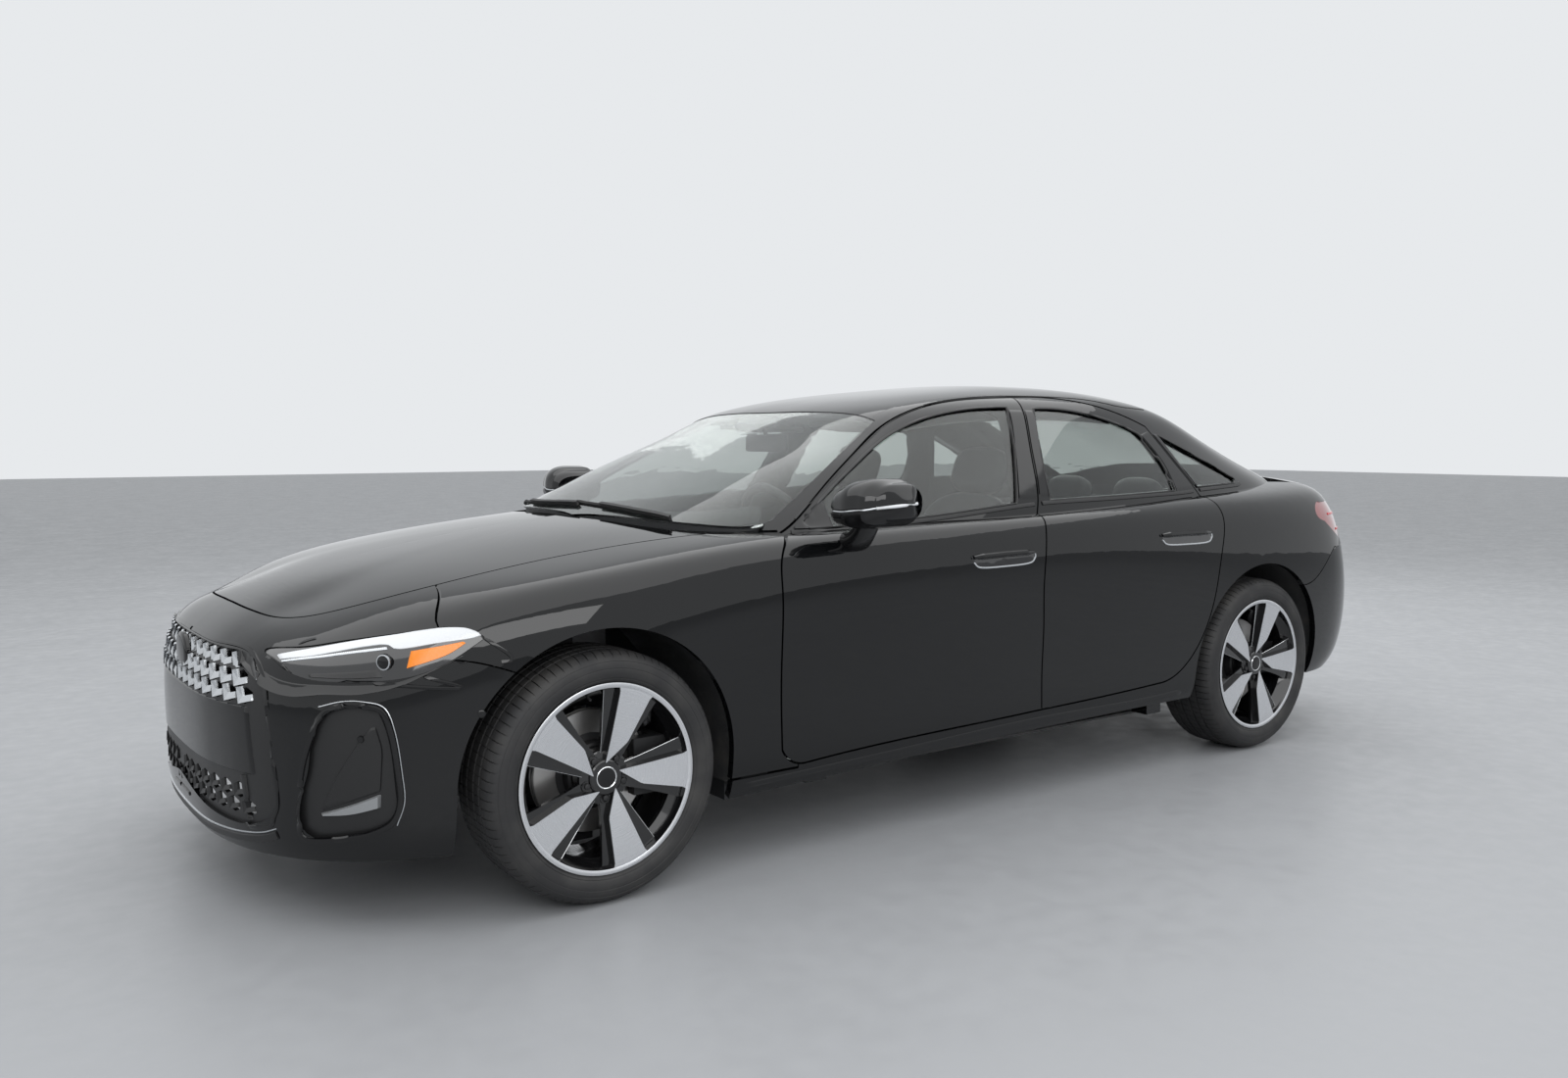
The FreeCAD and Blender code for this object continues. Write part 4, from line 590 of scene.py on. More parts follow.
valve = tube([onWheel(103, 0.232, 0.088), onWheel(103, 0.224, 0.1), onWheel(103, 0.221, 0.108)], 0.0036, 10,
             8)
blackParts = merge(barrel, hub, *shelfShapes, *bodyShapes, *lugSeats)
brightParts = merge(*lineShapes, revolve([(0.0265, 0.0986), (0.0285, 0.0998), (0.03, 0.0986)], 64))
capShape = revolve([(0.0, 0.1002), (0.018, 0.1), (0.0262, 0.099), (0.0262, 0.0975), (0.0, 0.0975)], 48)
discShape = revolve([(0.104, -0.0205), (0.104, 0.005), (0.166, 0.005), (0.168, 0.0035), (0.168, -0.003),
                     (0.156, -0.004), (0.156, -0.012), (0.168, -0.013), (0.168, -0.0195), (0.166, -0.0208)],
                     96)
hatShape = revolve([(0.0, 0.041), (0.078, 0.041), (0.0835, 0.037), (0.086, 0.01), (0.1045, 0.006),
                    (0.1045, -0.006), (0.0, -0.006)], 64)


def tyreShape():
    r, d = tyreValues["radius"], tyreValues["grooveDepth"]
    side = [(0.244, 0.1075, 0), (0.256, 0.1085, 0), (0.26, 0.1125, 0), (0.264, 0.116, 0),
            (0.2665, 0.1172, 0), (0.2675, 0.1163, 0), (0.2688, 0.1176, 0), (0.274, 0.1198, 0),
            (0.283, 0.1218, 0), (0.2925, 0.1224, 0), (0.295, 0.1217, 0), (0.2962, 0.1224, 0),
            (0.304, 0.1218, 0), (0.311, 0.12, 0), (0.3135, 0.1186, 0), (0.3145, 0.1192, 0),
            (0.32, 0.1158, 0), (0.3245, 0.1118, 0.001), (0.329, 0.1062, 0.0022), (0.333, 0.099, 0.0038),
            (0.3358, 0.0915, 0.0052), (0.3374, 0.084, 0.0056), (0.3383, 0.074, 0.0056),
            (0.3388, 0.064, 0.0056)]
    half = list(side)
    g = tyreValues["grooveHalf"]
    for middle in reversed(tyreValues["grooves"]):
        top = r - 0.0002 * (middle / 0.02)
        half += [(top, middle + g, 0.003), (r - d, middle + g * 0.7, 0), (r - d, middle - g * 0.7, 0),
                 (top, middle - g, 0.003), (r - 0.0001, middle - 0.014, 0.0025)]
    rows = half + [(r, 0.0, 0.002)] + [(a, -b, c) for a, b, c in reversed(half)]
    verts = []
    pitch = 2 * math.pi / tyreValues["pitches"]
    for k in range(tyreValues["pitches"]):
        for share, cut in ((0.0, 1.0), (0.07, 1.0), (0.1, 0.0), (0.97, 0.0)):
            for radius, out, sipe in rows:
                turn = pitch * (k + share) + 0.28 * abs(out) / 0.1 * pitch * (1 if out > 0 else -1)
                verts.append(Vector(((radius - sipe * cut) * math.cos(turn), -out,
                                     (radius - sipe * cut) * math.sin(turn))))
    return verts, gridFaces(tyreValues["pitches"] * 4, len(rows), closedRows=True, closedColumns=True)


tyreMesh = tyreShape()
for end, axle in (("front", -1.5345), ("rear", 1.3605)):
    for side, sign in (("left", -1), ("right", 1)):
        body = "wheel_" + end + "_" + side
        centre = Vector((axle, sign * wheelValues["track"], tyreValues["radius"]))
        label = end.capitalize() + side.capitalize()
        for name, shape, look, slotName, sharp in (
                ("rim", blackParts, rimBlack, "rim_metal", 32),
                ("spokeFaces", merge(*faceShapes), machined, "rim_metal", 30),
                ("rimLip", revolve(lipProfile, 128), machined, "rim_metal", 40),
                ("brightLines", brightParts, brightLine, "rim_metal", 40),
                ("hubCap", capShape, pianoBlack, "rim_metal", 40),
                ("wheelBolts", merge(*lugs), castBlack, "suspension_steel", 30),
                ("tyreValve", valve, sealRubber, "tyre_rubber", 40),
                ("brakeDisc", discShape, discSteel, "suspension_steel", 30),
                ("discHat", hatShape, castBlack, "suspension_steel", 30),
                ("tyre", tyreMesh, rubber, "tyre_rubber", 28)):
            verts = [Vector((-sign * v.x, -sign * v.y, v.z)) + centre for v in shape[0]]
            meshPiece(name + label, verts, shape[1], look, body, sharp=sharp, at=centre,
                                  slotName=slotName)
        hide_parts("wheel_" + end + "_" + side)
        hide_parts("tyre_" + end + "_" + side)
print("wheels ready")


# places on the left side of the body: looking in from the left, and looking back from the front
def side(x, z, tree=skin):
    return cast((x, -1.3, z), (0, 1, 0), tree)[0]


def sideLine(points, tree=skin):
    return [side(x, z, tree) for x, z in points]


def ahead(y, z, tree=skin):
    return cast((-2.9, y, z), (1, 0, 0), tree)[0]


def strip(points, count, width, out, tree=skin, closed=False, smooth=True, taper=None, shape=None):
    path, normals = laid(points, count, tree, smooth, closed)
    half = width / 2
    profile = shape or [(-half, -0.0012), (-half * 0.75, out * 0.8), (0, out), (half * 0.75, out * 0.8),
                        (half, -0.0012)]
    return sweep(path, normals, profile, closed, taper)


def rising(along, across):
    return across


def ribs(along, across):
    return 0.35 + 0.65 * abs(math.sin(along * lampShapes["ribs"] * math.pi))


# headlamps: a dark body from the frame with the band, fine strip, projector and amber wedge laid on it
lampTree = treeOf("headlamps")
lampBlack = grained("lampBlack", (0.01, 0.01, 0.011), 0.05, 0.09, size=60.0, bump=0.0,
                    **{"Coat Weight": 1.0})
nodes["headlamps"].data.materials[0] = lampBlack
lampShapes = {
    "bandTop": [(-2.276, -0.536, 0.697), (-2.199, -0.612, 0.717), (-2.106, -0.692, 0.739),
                (-2.036, -0.749, 0.753), (-1.963, -0.795, 0.765), (-1.895, -0.836, 0.766),
                (-1.861, -0.862, 0.752)],
    "bandLow": [(-2.273, -0.557, 0.687), (-2.205, -0.635, 0.701), (-2.078, -0.741, 0.729),
                (-2.052, -0.772, 0.72), (-2.024, -0.792, 0.721), (-1.965, -0.824, 0.731),
                (-1.893, -0.854, 0.739), (-1.859, -0.865, 0.748)],
    "stripTop": [(-2.27, -0.563, 0.686), (-2.203, -0.636, 0.7), (-2.13, -0.704, 0.715),
                 (-2.066, -0.757, 0.726)],
    "stripLow": [(-2.27, -0.57, 0.681), (-2.203, -0.644, 0.694), (-2.13, -0.711, 0.708),
                 (-2.066, -0.764, 0.718)],
    "amberTop": [(-2.022, -0.797, 0.715), (-1.96, -0.828, 0.725), (-1.904, -0.852, 0.735)],
    "amberLow": [(-2.038, -0.806, 0.672), (-1.985, -0.829, 0.688), (-1.94, -0.846, 0.705),
                 (-1.898, -0.856, 0.731)],
    "shelfTop": [(-2.236, -0.645, 0.66), (-2.16, -0.722, 0.668), (-2.092, -0.775, 0.674)],
    "shelfLow": [(-2.228, -0.655, 0.65), (-2.16, -0.728, 0.649), (-2.085, -0.782, 0.652)],
    "projector": (-2.078, -0.772, 0.688), "projectorTurn": 0.62, "ribs": 60}
outline = [(-2.288, 0.696), (-2.235, 0.713), (-2.16, 0.728), (-2.066, 0.747), (-1.965, 0.764),
           (-1.906, 0.767), (-1.874, 0.757), (-1.855, 0.739), (-1.89, 0.716), (-1.937, 0.687),
           (-2.003, 0.658), (-2.065, 0.645), (-2.144, 0.641), (-2.217, 0.642), (-2.251, 0.653),
           (-2.28, 0.684)]
for name, key, columns, rows, lift, crown, look, slotName, sharp in (
        ("lampBand", "band", 64, 6, 0.0022, None, whiteLens, "lamp_lens", 35),
        ("lampStrip", "strip", 181, 3, 0.0026, ribs, silver, "lamp_lens", 20),
        ("amberWedge", "amber", 24, 6, 0.0018, None, amber, "lamp_lens", 35),
        ("lampShelf", "shelf", 24, 4, 0.004, rising, satinTrim, "trim_black", 35)):
    laidOn = patch(lampShapes[key + "Top"], lampShapes[key + "Low"], columns, rows, lift, tree=lampTree,
                   crown=crown)
    pair(name, laidOn, look, slotName=slotName, sharp=sharp)
eyeProfile = [(0.0, -0.006), (0.01, -0.0055), (0.015, -0.003), (0.017, 0.001), (0.021, 0.001),
              (0.021, 0.006), (0.0, 0.006)]
ringProfile = [(0.0165, -0.004), (0.0195, -0.0035), (0.0195, 0.001), (0.0165, 0.001)]
eyeAt = lampShapes["projector"]
for name, profile, look in (("projectorEye", eyeProfile, pianoBlack),
                            ("projectorRing", ringProfile, silver)):
    turned = turnedAbout(revolve(profile, 40, axis="x", centre=eyeAt), eyeAt, "Z",
                         lampShapes["projectorTurn"])
    pair(name, turned, look, slotName="lamp_lens")
pair("lampSurround", strip(sideLine(outline), 160, 0.011, 0.0022, closed=True), pianoBlack)
print("headlamps ready")

# the nose: a ridge beside the grille and under the lamps, bent strips in the cells, panel and splitter
noseValues = {"cellPitch": 0.064, "rows": ((0.588, 0.032, 8), (0.628, 0.064, 7), (0.668, 0.032, 7)),
              "lowRows": ((0.3, 0.032, 8), (0.342, 0.064, 7)), "bentDeep": 0.006, "bentSize": 1.16,
              "lowSize": 0.85, "ridgeOut": 0.012, "rim": (0.013, 0.0035), "panelLift": 0.003,
              "blankWide": 1.25, "lipDrop": 0.018}
ridgeTop = [(-2.366, -0.3, 0.7), (-2.345, -0.4, 0.697), (-2.322, -0.488, 0.68), (-2.296, -0.556, 0.65),
            (-2.262, -0.622, 0.636), (-2.206, -0.688, 0.634), (-2.14, -0.746, 0.634),
            (-2.062, -0.799, 0.64), (-1.985, -0.834, 0.668), (-1.905, -0.862, 0.704)]
ridgeLow = [(-2.37, -0.3, 0.694), (-2.349, -0.4, 0.684), (-2.331, -0.477, 0.654), (-2.305, -0.56, 0.616),
            (-2.262, -0.634, 0.602), (-2.2, -0.702, 0.61), (-2.13, -0.76, 0.612), (-2.05, -0.808, 0.631),
            (-1.98, -0.838, 0.664), (-1.902, -0.864, 0.702)]


# grows out of the skin, full in the middle, sharp at its lower edge
def ridgeCrown(along, across):
    return across ** 1.3 * min(1.0, along / 0.2) * min(1.0, (1 - along) / 0.35)


pair("noseRidge", patch(ridgeTop, ridgeLow, 80, 9, noseValues["ridgeOut"], edge=0.0008, crown=ridgeCrown),
     paint, slotName="body_paint", sharp=50)
mouthRim = [(-0.01, 0.702), (-0.24, 0.701), (-0.434, 0.698), (-0.527, 0.656), (-0.564, 0.596),
            (-0.592, 0.381), (-0.58, 0.297), (-0.505, 0.254), (-0.01, 0.262)]
pair("grilleRim", strip([ahead(y, z) for y, z in mouthRim], 120, *noseValues["rim"]), pianoBlack)
bentOutline = [(-0.023, 0.016), (-0.012, 0.019), (-0.009, -0.002), (0.022, 0.005), (0.027, -0.008),
               (-0.015, -0.019)]
bentOut = [0.0055, 0.0015, 0.0015, 0.001, 0.0055, 0.0075]


# one strip: it stands in the inboard lower corner of its cell
def bentStrip(outboard, height, size, tree):
    pitch = noseValues["cellPitch"]
    webA, webB = [ahead(-outboard - off, height, tree) for off in (pitch / 2, -pitch / 2)]
    verts = []
    for deep in (0.0, noseValues["bentDeep"]):
        for (u, v), out in zip(bentOutline, bentOut):
            middle = webA.lerp(webB, 0.5 - u * size / pitch)
            verts.append(Vector((middle.x - out * size + deep, -outboard - u * size, height + v * size)))
    faces = [(0, 1, 2, 5), (5, 2, 3, 4), (6, 11, 8, 7), (11, 10, 9, 8)]
    faces += [(i, (i + 1) % 6, (i + 1) % 6 + 6, i + 6) for i in range(6)]
    return verts, faces


grilleTree = treeOf("grilles", "front_bumper")


def bentRows(rows, size):
    return merge(*[bentStrip(first + noseValues["cellPitch"] * k, height, size, grilleTree)
                   for height, first, count in rows for k in range(count)])


pair("bentStrips", bentRows(noseValues["rows"], noseValues["bentSize"]), silver, sharp=12)
pair("lowerBents", bentRows(noseValues["lowRows"], noseValues["lowSize"]), satinTrim, sharp=12)
panelTop = [ahead(y, 0.562, grilleTree) for y in (-0.5, -0.36, -0.18, 0.0, 0.18, 0.36, 0.5)]
panelLow = [ahead(y, 0.388, grilleTree) for y in (-0.52, -0.37, -0.18, 0.0, 0.18, 0.37, 0.52)]
meshPiece("nosePanel", *patch(panelTop, panelLow, 90, 10, noseValues["panelLift"], tree=grilleTree,
                              edge=0.004), pianoBlack)
blankDisc = revolve([(0.0, -0.012), (0.04, -0.0115), (0.052, -0.009), (0.056, -0.005), (0.056, 0.004),
                     (0.0, 0.004)],
                    64, axis="x", centre=ahead(-0.001, 0.64, grilleTree))
meshPiece("noseBlank", [Vector((v.x, v.y * noseValues["blankWide"], v.z)) for v in blankDisc[0]],
          blankDisc[1], pianoBlack)
pair("intakeDivider", strip([ahead(-0.47, 0.384), ahead(-0.476, 0.33), ahead(-0.482, 0.272)], 16, 0.02,
                            0.006),
     satinTrim)
lipPath = [(-2.399, 0.0, 0.218), (-2.395, -0.075, 0.219), (-2.388, -0.22, 0.221), (-2.374, -0.344, 0.225),
           (-2.35, -0.45, 0.233), (-2.32, -0.531, 0.245), (-2.296, -0.58, 0.262)]
pair("splitterLine", strip(lipPath, 70, 0.008, 0.0032, taper=lambda t: 1.0 - 0.6 * t), silver)
lipLow = [(x, y, z - noseValues["lipDrop"]) for x, y, z in lipPath]
pair("splitterLip", strip(lipLow, 70, 0.024, 0.0045), satinTrim)
print("grille ready")

# side intakes: a gloss frame, a silver line along its upper and rear edge as a painted highlight, a dark
# panel and a pale blade inside
intakeValues = {"frame": (0.016, 0.0045), "edge": (0.0028, 0.003), "panelLift": 0.004, "bladeLift": 0.009,
                "round": 0.003}
intakeFrame = [(-2.226, -0.687, 0.527), (-2.204, -0.705, 0.568), (-2.168, -0.735, 0.583),
               (-2.13, -0.764, 0.583), (-2.093, -0.79, 0.57), (-2.074, -0.803, 0.512),
               (-2.062, -0.809, 0.417), (-2.057, -0.808, 0.344), (-2.073, -0.796, 0.292),
               (-2.11, -0.77, 0.266), (-2.155, -0.738, 0.252), (-2.245, -0.65, 0.243), (-2.252, -0.64, 0.3),
               (-2.247, -0.655, 0.42)]
pair("intakeFrame", strip(intakeFrame, 150, *intakeValues["frame"], closed=True), pianoBlack)
# the silver line is a painted highlight where the gloss frame's edge catches the light
intakeEdge = [(-2.214, -0.69, 0.58), (-2.17, -0.728, 0.594), (-2.128, -0.762, 0.594),
              (-2.086, -0.793, 0.578), (-2.065, -0.806, 0.515), (-2.053, -0.812, 0.417),
              (-2.048, -0.811, 0.344), (-2.064, -0.799, 0.284)]
pair("intakeEdge", strip(intakeEdge, 90, *intakeValues["edge"]), silver)
blankTree = treeOf("grilles")
panelA = [(-2.222, -0.685, 0.312), (-2.19, -0.715, 0.4), (-2.15, -0.75, 0.48), (-2.12, -0.775, 0.53)]
panelB = [(-2.101, -0.785, 0.366), (-2.097, -0.788, 0.42), (-2.096, -0.791, 0.475), (-2.108, -0.782, 0.532)]
pair("intakePanel", patch(panelA, panelB, 24, 10, intakeValues["panelLift"], tree=blankTree,
                           edge=intakeValues["round"]), satinTrim)
bladeA = [(-2.222, -0.685, 0.31), (-2.16, -0.735, 0.334), (-2.1, -0.785, 0.362)]
bladeB = [(-2.22, -0.688, 0.303), (-2.16, -0.737, 0.309), (-2.102, -0.784, 0.326)]
bladeGrey = grained("bladeGrey", (0.34, 0.35, 0.36), 0.28, 0.4, size=500.0, bump=0.05, metallic=0.5)
pair("intakeBlade", patch(bladeA, bladeB, 24, 6, intakeValues["bladeLift"], tree=blankTree,
                           edge=intakeValues["round"]), bladeGrey)


def dot(centre, normal, radius, lift):
    back = Vector(normal).to_track_quat("X", "Z").to_matrix()
    profile = [(0.0, lift), (radius * 0.8, lift), (radius, lift * 0.5), (radius, -0.003), (0.0, -0.003)]
    verts, faces = revolve(profile, 28, axis="x")
    return [back @ v + Vector(centre) for v in verts], faces


sensors = [dot(*snapped((-2.14, -0.762, 0.5), blankTree), 0.009, 0.007),
           dot(*snapped((-1.87, -0.881, 0.55)), 0.01, 0.0022)]
pair("parkingSensors", merge(*sensors), pianoBlack)
print("nose ready")


# glass trims, pillar covers, belt and roof lines
frontWindow = [(-0.82, 0.98), (-0.726, 1.044), (-0.55, 1.15), (-0.369, 1.243), (-0.251, 1.286),
               (-0.134, 1.314), (0.029, 1.336), (0.206, 1.343), (0.15, 1.2), (0.066, 1.014),
               (-0.331, 0.985), (-0.72, 0.966), (-0.8, 0.964)]
rearWindow = [(0.232, 1.02), (0.27, 1.18), (0.338, 1.341), (0.48, 1.34), (0.62, 1.324), (0.76, 1.292),
              (0.876, 1.252), (0.945, 1.14), (0.95, 1.034), (0.6, 1.026)]
quarterWindow = [(1.105, 1.045), (1.0, 1.246), (1.129, 1.196), (1.316, 1.118), (1.405, 1.076),
                 (1.42, 1.064), (1.395, 1.052)]
trimValues = {"wide": 0.011, "out": 0.0028, "beltWide": 0.017, "beltOut": 0.004, "dripWide": 0.006,
              "dripOut": 0.002, "coverLift": 0.003, "triangleLift": 0.0045}


frontTree = treeOf("door_front_left", "glass_front_left")
rearTree = treeOf("door_rear_left", "glass_rear_left")
frameTree = treeOf("side_frame_left", "quarter_glasses")


frontDoors = ("door_front_left", "door_front_right")
rearDoors = ("door_rear_left", "door_rear_right")
for name, outline, count, tree, bodies in (("frontGlassTrim", frontWindow, 220, frontTree, frontDoors),
                                           ("rearGlassTrim", rearWindow, 200, rearTree, rearDoors),
                                           ("quarterTrim", quarterWindow, 140, frameTree, onShell)):
    # corners are straight: the outline is laid as it is
    pair(name, strip(sideLine(outline, tree), count, trimValues["wide"], trimValues["out"], tree=tree,
                     closed=True, smooth=False), satinTrim, bodies)
beltFront = [(-0.862, 0.954), (-0.72, 0.957), (-0.331, 0.975), (0.06, 1.003), (0.146, 1.008)]
beltRear = [(0.186, 1.01), (0.24, 1.012), (0.6, 1.017), (0.95, 1.024), (1.062, 1.029)]
beltQuarter = [(1.115, 1.033), (1.2, 1.036), (1.395, 1.043), (1.44, 1.05)]
for label, line, bodies, tree in (("beltFront", beltFront, frontDoors, frontTree),
                                  ("beltRear", beltRear, rearDoors, rearTree),
                                  ("beltQuarter", beltQuarter, onShell, frameTree)):
    pair(label, strip(sideLine(line, tree), 60, trimValues["beltWide"], trimValues["beltOut"], tree=tree),
         satinTrim, bodies)
pillarA = [(0.08, 1.024), (0.112, 1.1), (0.153, 1.2), (0.187, 1.28), (0.206, 1.335)]
pillarB = [(0.168, 1.024), (0.198, 1.1), (0.228, 1.2), (0.254, 1.28), (0.272, 1.335)]
pillarC = [(0.172, 1.03), (0.2, 1.1), (0.23, 1.2), (0.256, 1.28), (0.272, 1.335)]
pillarD = [(0.228, 1.03), (0.246, 1.1), (0.276, 1.2), (0.303, 1.28), (0.325, 1.335)]


# walks along from the seam until the panel begins
def firstSkin(x, z, tree, step):
    for k in range(40):
        hit = tree.ray_cast(Vector((x + step * k, -1.3, z)), Vector((0, 1, 0)), 0.7)[0]
        if hit:
            return side(x + step * (k + 1.5), z, tree)
    return side(x, z)


bandA = [(0.958, 1.03), (0.953, 1.14), (0.89, 1.248)]
bandB = [(1.082, 1.034), (1.008, 1.165), (0.952, 1.262)]
bandC = [(1.092, 1.046), (1.024, 1.168), (0.975, 1.252)]
bandD = [(1.1, 1.047), (1.048, 1.15), (0.998, 1.25)]


def cover(name, railA, railB, columns, rows, tree, bodies=onShell):
    pair(name, patch(railA, railB, columns, rows, trimValues["coverLift"], tree=tree), pianoBlack, bodies)


cover("pillarCoverFront", sideLine(pillarA, frontTree), [firstSkin(x, z, frontTree, -0.002)
                                                         for x, z in pillarB],
      40, 6, frontTree, frontDoors)
cover("pillarCoverRear", [firstSkin(x, z, rearTree, 0.002) for x, z in pillarC],
      sideLine(pillarD, rearTree), 40, 6, rearTree, rearDoors)
cover("rearBandDoor", sideLine(bandA, rearTree), sideLine(bandB, rearTree), 30, 6, rearTree, rearDoors)
cover("rearBandBody", sideLine(bandC, frameTree), sideLine(bandD, frameTree), 30, 4, frameTree)
quarterLight = [(-0.852, 0.966), (-0.812, 0.996), (-0.742, 1.036), (-0.712, 1.05)]
quarterFoot = [(-0.852, 0.962), (-0.812, 0.962), (-0.742, 0.962), (-0.712, 0.962)]
pair("mirrorTriangle", patch(sideLine(quarterLight), sideLine(quarterFoot), 24, 6,
                             trimValues["triangleLift"]), pianoBlack, frontDoors)
dripLine = [(-0.832, -0.777, 0.991), (-0.649, -0.72, 1.108), (-0.35, -0.618, 1.276), (-0.064, -0.57, 1.36),
            (0.3, -0.556, 1.392), (0.64, -0.56, 1.378), (0.855, -0.58, 1.342), (1.036, -0.56, 1.33)]
pair("roofLine", strip(dripLine, 150, trimValues["dripWide"], trimValues["dripOut"]), satinTrim)
print("side trims ready")

# door handles: a pull over a dark patch of painted shade where the recess is, with a silver strip below and
# behind as a painted highlight along the recess edge
handleSpots = {"Front": ((-0.236, 0.84), (0.056, 0.845), frontDoors),
               "Rear": ((0.712, 0.868), (1.012, 0.868), rearDoors)}
handleRecess = {"top": [(0.0, 0.016), (0.1, 0.017), (0.5, 0.018), (0.9, 0.018), (1.0, 0.01)],
                "low": [(0.035, -0.004), (0.14, -0.022), (0.5, -0.026), (0.9, -0.024), (1.0, -0.008)]}
pullShape = [(-0.0085, -0.001), (-0.01, 0.01), (-0.006, 0.0165), (0.0, 0.018), (0.006, 0.0165),
             (0.01, 0.01), (0.0085, -0.001)]
handleValues = {"recessLift": 0.0016, "chamferWide": 0.0065, "chamferOut": 0.0036,
                "pull": [(0.03, 0.012), (0.3, 0.013), (0.6, 0.013), (0.97, 0.011)]}


def onHandle(start, end, share, up):
    return side(start[0] + (end[0] - start[0]) * share, start[1] + (end[1] - start[1]) * share + up)


for label, (start, end, bodies) in handleSpots.items():
    top = [onHandle(start, end, *p) for p in handleRecess["top"]]
    low = [onHandle(start, end, *p) for p in handleRecess["low"]]
    # the door skin has no recess: this dark patch is painted shade laid on it
    pair("handleRecess" + label, patch(top, low, 50, 8, handleValues["recessLift"]), lampBlack, bodies)
    # a silver strip where the painted edge catches the light: a painted highlight
    chamferHighlight = strip(low + [onHandle(start, end, 1.004, 0.006)], 60, handleValues["chamferWide"],
                    handleValues["chamferOut"])
    pair("handleChamfer" + label, chamferHighlight, silver, bodies, slotName="body_paint")
    path, normals = laid([onHandle(start, end, *p) for p in handleValues["pull"]], 50)
    pull = sweep(path, normals, pullShape, taper=lambda t: min(1.0, 0.55 + 3.5 * min(t, 1 - t)))
    pair("handlePull" + label, pull, paint, bodies, slotName="body_paint")
print("handles ready")

# sill blades: a facet in body paint under the doors
skirtTop = [(-1.1, 0.252), (-0.56, 0.266), (0.07, 0.285), (0.64, 0.283), (0.9, 0.292)]
skirtLow = [(-1.1, 0.236), (-0.56, 0.248), (0.07, 0.264), (0.64, 0.264), (0.9, 0.27)]
pair("sillBlade", patch(sideLine(skirtTop), sideLine(skirtLow), 90, 6, 0.006,
                        crown=rising), paint, slotName="body_paint")
print("sills ready")


# door mirrors: a gloss dome with a crease, a recessed band with a fine strip, a bowl below, glass and foot
mirrorValues = {"inner": -0.905, "outer": -1.103, "steps": 30,
                "front": [(0, -0.798), (0.15, -0.813), (0.4, -0.817), (0.7, -0.802), (0.88, -0.77),
                          (1, -0.715)],
                "rear": [(0, -0.612), (0.4, -0.604), (0.8, -0.603), (1, -0.622)],
                "top": [(0, 1.078), (0.12, 1.096), (0.35, 1.114), (0.6, 1.118), (0.85, 1.103), (1, 1.072)],
                "crease": [(0, 1.03), (0.3, 1.028), (0.7, 1.034), (1, 1.046)],
                "low": [(0, 0.984), (0.15, 0.974), (0.4, 0.969), (0.7, 0.978), (0.9, 0.998), (1, 1.016)],
                "gap": 0.013, "inset": 0.006}


def between(stations, t):
    for (a, va), (b, vb) in zip(stations, stations[1:]):
        if t <= b:
            s = (t - a) / (b - a)
            return va + (vb - va) * s * s * (3 - 2 * s)
    return stations[-1][1]


# part: dome, bowl or band; each row is a closed loop
def mirrorRow(t, part):
    m = mirrorValues
    x0, x1, top, crease, low = [between(m[key], t) for key in ("front", "rear", "top", "crease", "low")]
    inset = m["inset"] if part == "band" else 0.0
    shrink = max(0.02, (1 - max(0.0, (t - 0.8) / 0.2) ** 2.4)) ** 0.42
    middle, half = (x0 + x1) / 2, (x1 - x0) / 2 - inset
    y = m["inner"] + (m["outer"] + inset - m["inner"]) * t
    row = []
    for k in range(25):
        turn = math.pi * k / 24
        reach, rise = math.cos(turn), math.sin(turn)
        power = 0.3 if reach > 0 else 0.86
        x = middle + half * math.copysign(abs(reach) ** power, reach)
        if part == "dome":
            z = crease + (top - crease) * rise ** 0.72
        elif part == "bowl":
            z = crease - m["gap"] - (crease - m["gap"] - low) * rise ** 0.6
        else:
            z = crease + 0.004
        row.append((x, z))
    if part == "band":
        row += [(x, crease - m["gap"] - 0.004) for x, _ in reversed(row)]
    else:
        edge = row[-1][1]
        row += [(x + (middle - x) * 0.06, edge + (0.002 if part == "dome" else -0.002))
                for x, _ in reversed(row)]
    centre = (middle, crease)
    return [Vector((centre[0] + (x - centre[0]) * shrink, y, centre[1] + (z - centre[1]) * shrink))
            for x, z in row]


def mirrorShell(part):
    steps = mirrorValues["steps"]
    rows = [mirrorRow(1 - (1 - k / (steps - 1)) ** 1.8, part) for k in range(steps)]
    shape = [p for row in rows for p in row]
    faces = gridFaces(steps, len(rows[0]), closedColumns=True)
    faces += [tuple(range(len(rows[0]))), tuple(range(len(shape) - len(rows[0]), len(shape)))[::-1]]
    return shape, faces


pieces = pair("mirrorDome", mirrorShell("dome"), paint, frontDoors, slotName="body_paint")
pieces += pair("mirrorBowl", mirrorShell("bowl"), pianoBlack, frontDoors)
pieces += pair("mirrorBand", mirrorShell("band"), darkPlastic, frontDoors)
stripLine = []
for k in range(16):
    t = 0.1 + 0.86 * k / 15
    front, rear = between(mirrorValues["front"], t), between(mirrorValues["rear"], t)
    out = max(0.0, (t - 0.82) / 0.14) ** 2
    stripLine.append((front + 0.006 + out * (rear - front) * 0.3,
                      mirrorValues["inner"] - 0.198 * t + out * 0.004,
                      between(mirrorValues["crease"], t) - 0.008 + 0.004 * t))
pieces += pair("mirrorStrip", tube(stripLine, 0.0034, 50, 8), silver, frontDoors)
repeater = [(stripLine[-3][0], stripLine[-3][1] - 0.001, stripLine[-3][2]), (-0.7, -1.0985, 1.041),
            (-0.655, -1.0955, 1.044), (-0.625, -1.088, 1.045)]
pieces += pair("mirrorRepeater", tube(repeater, 0.005, 30, 10), whiteLens, frontDoors, slotName="lamp_lens")
glassEdge = [(-0.925, 0.998), (-0.99, 0.986), (-1.05, 0.996), (-1.082, 1.022), (-1.086, 1.06),
             (-1.06, 1.088), (-0.99, 1.099), (-0.93, 1.088), (-0.916, 1.045)]
rim = resample([(-0.6035, y, z) for y, z in glassEdge], 48, closed=True)
middle = Vector((-0.6025, -1.0, 1.044))
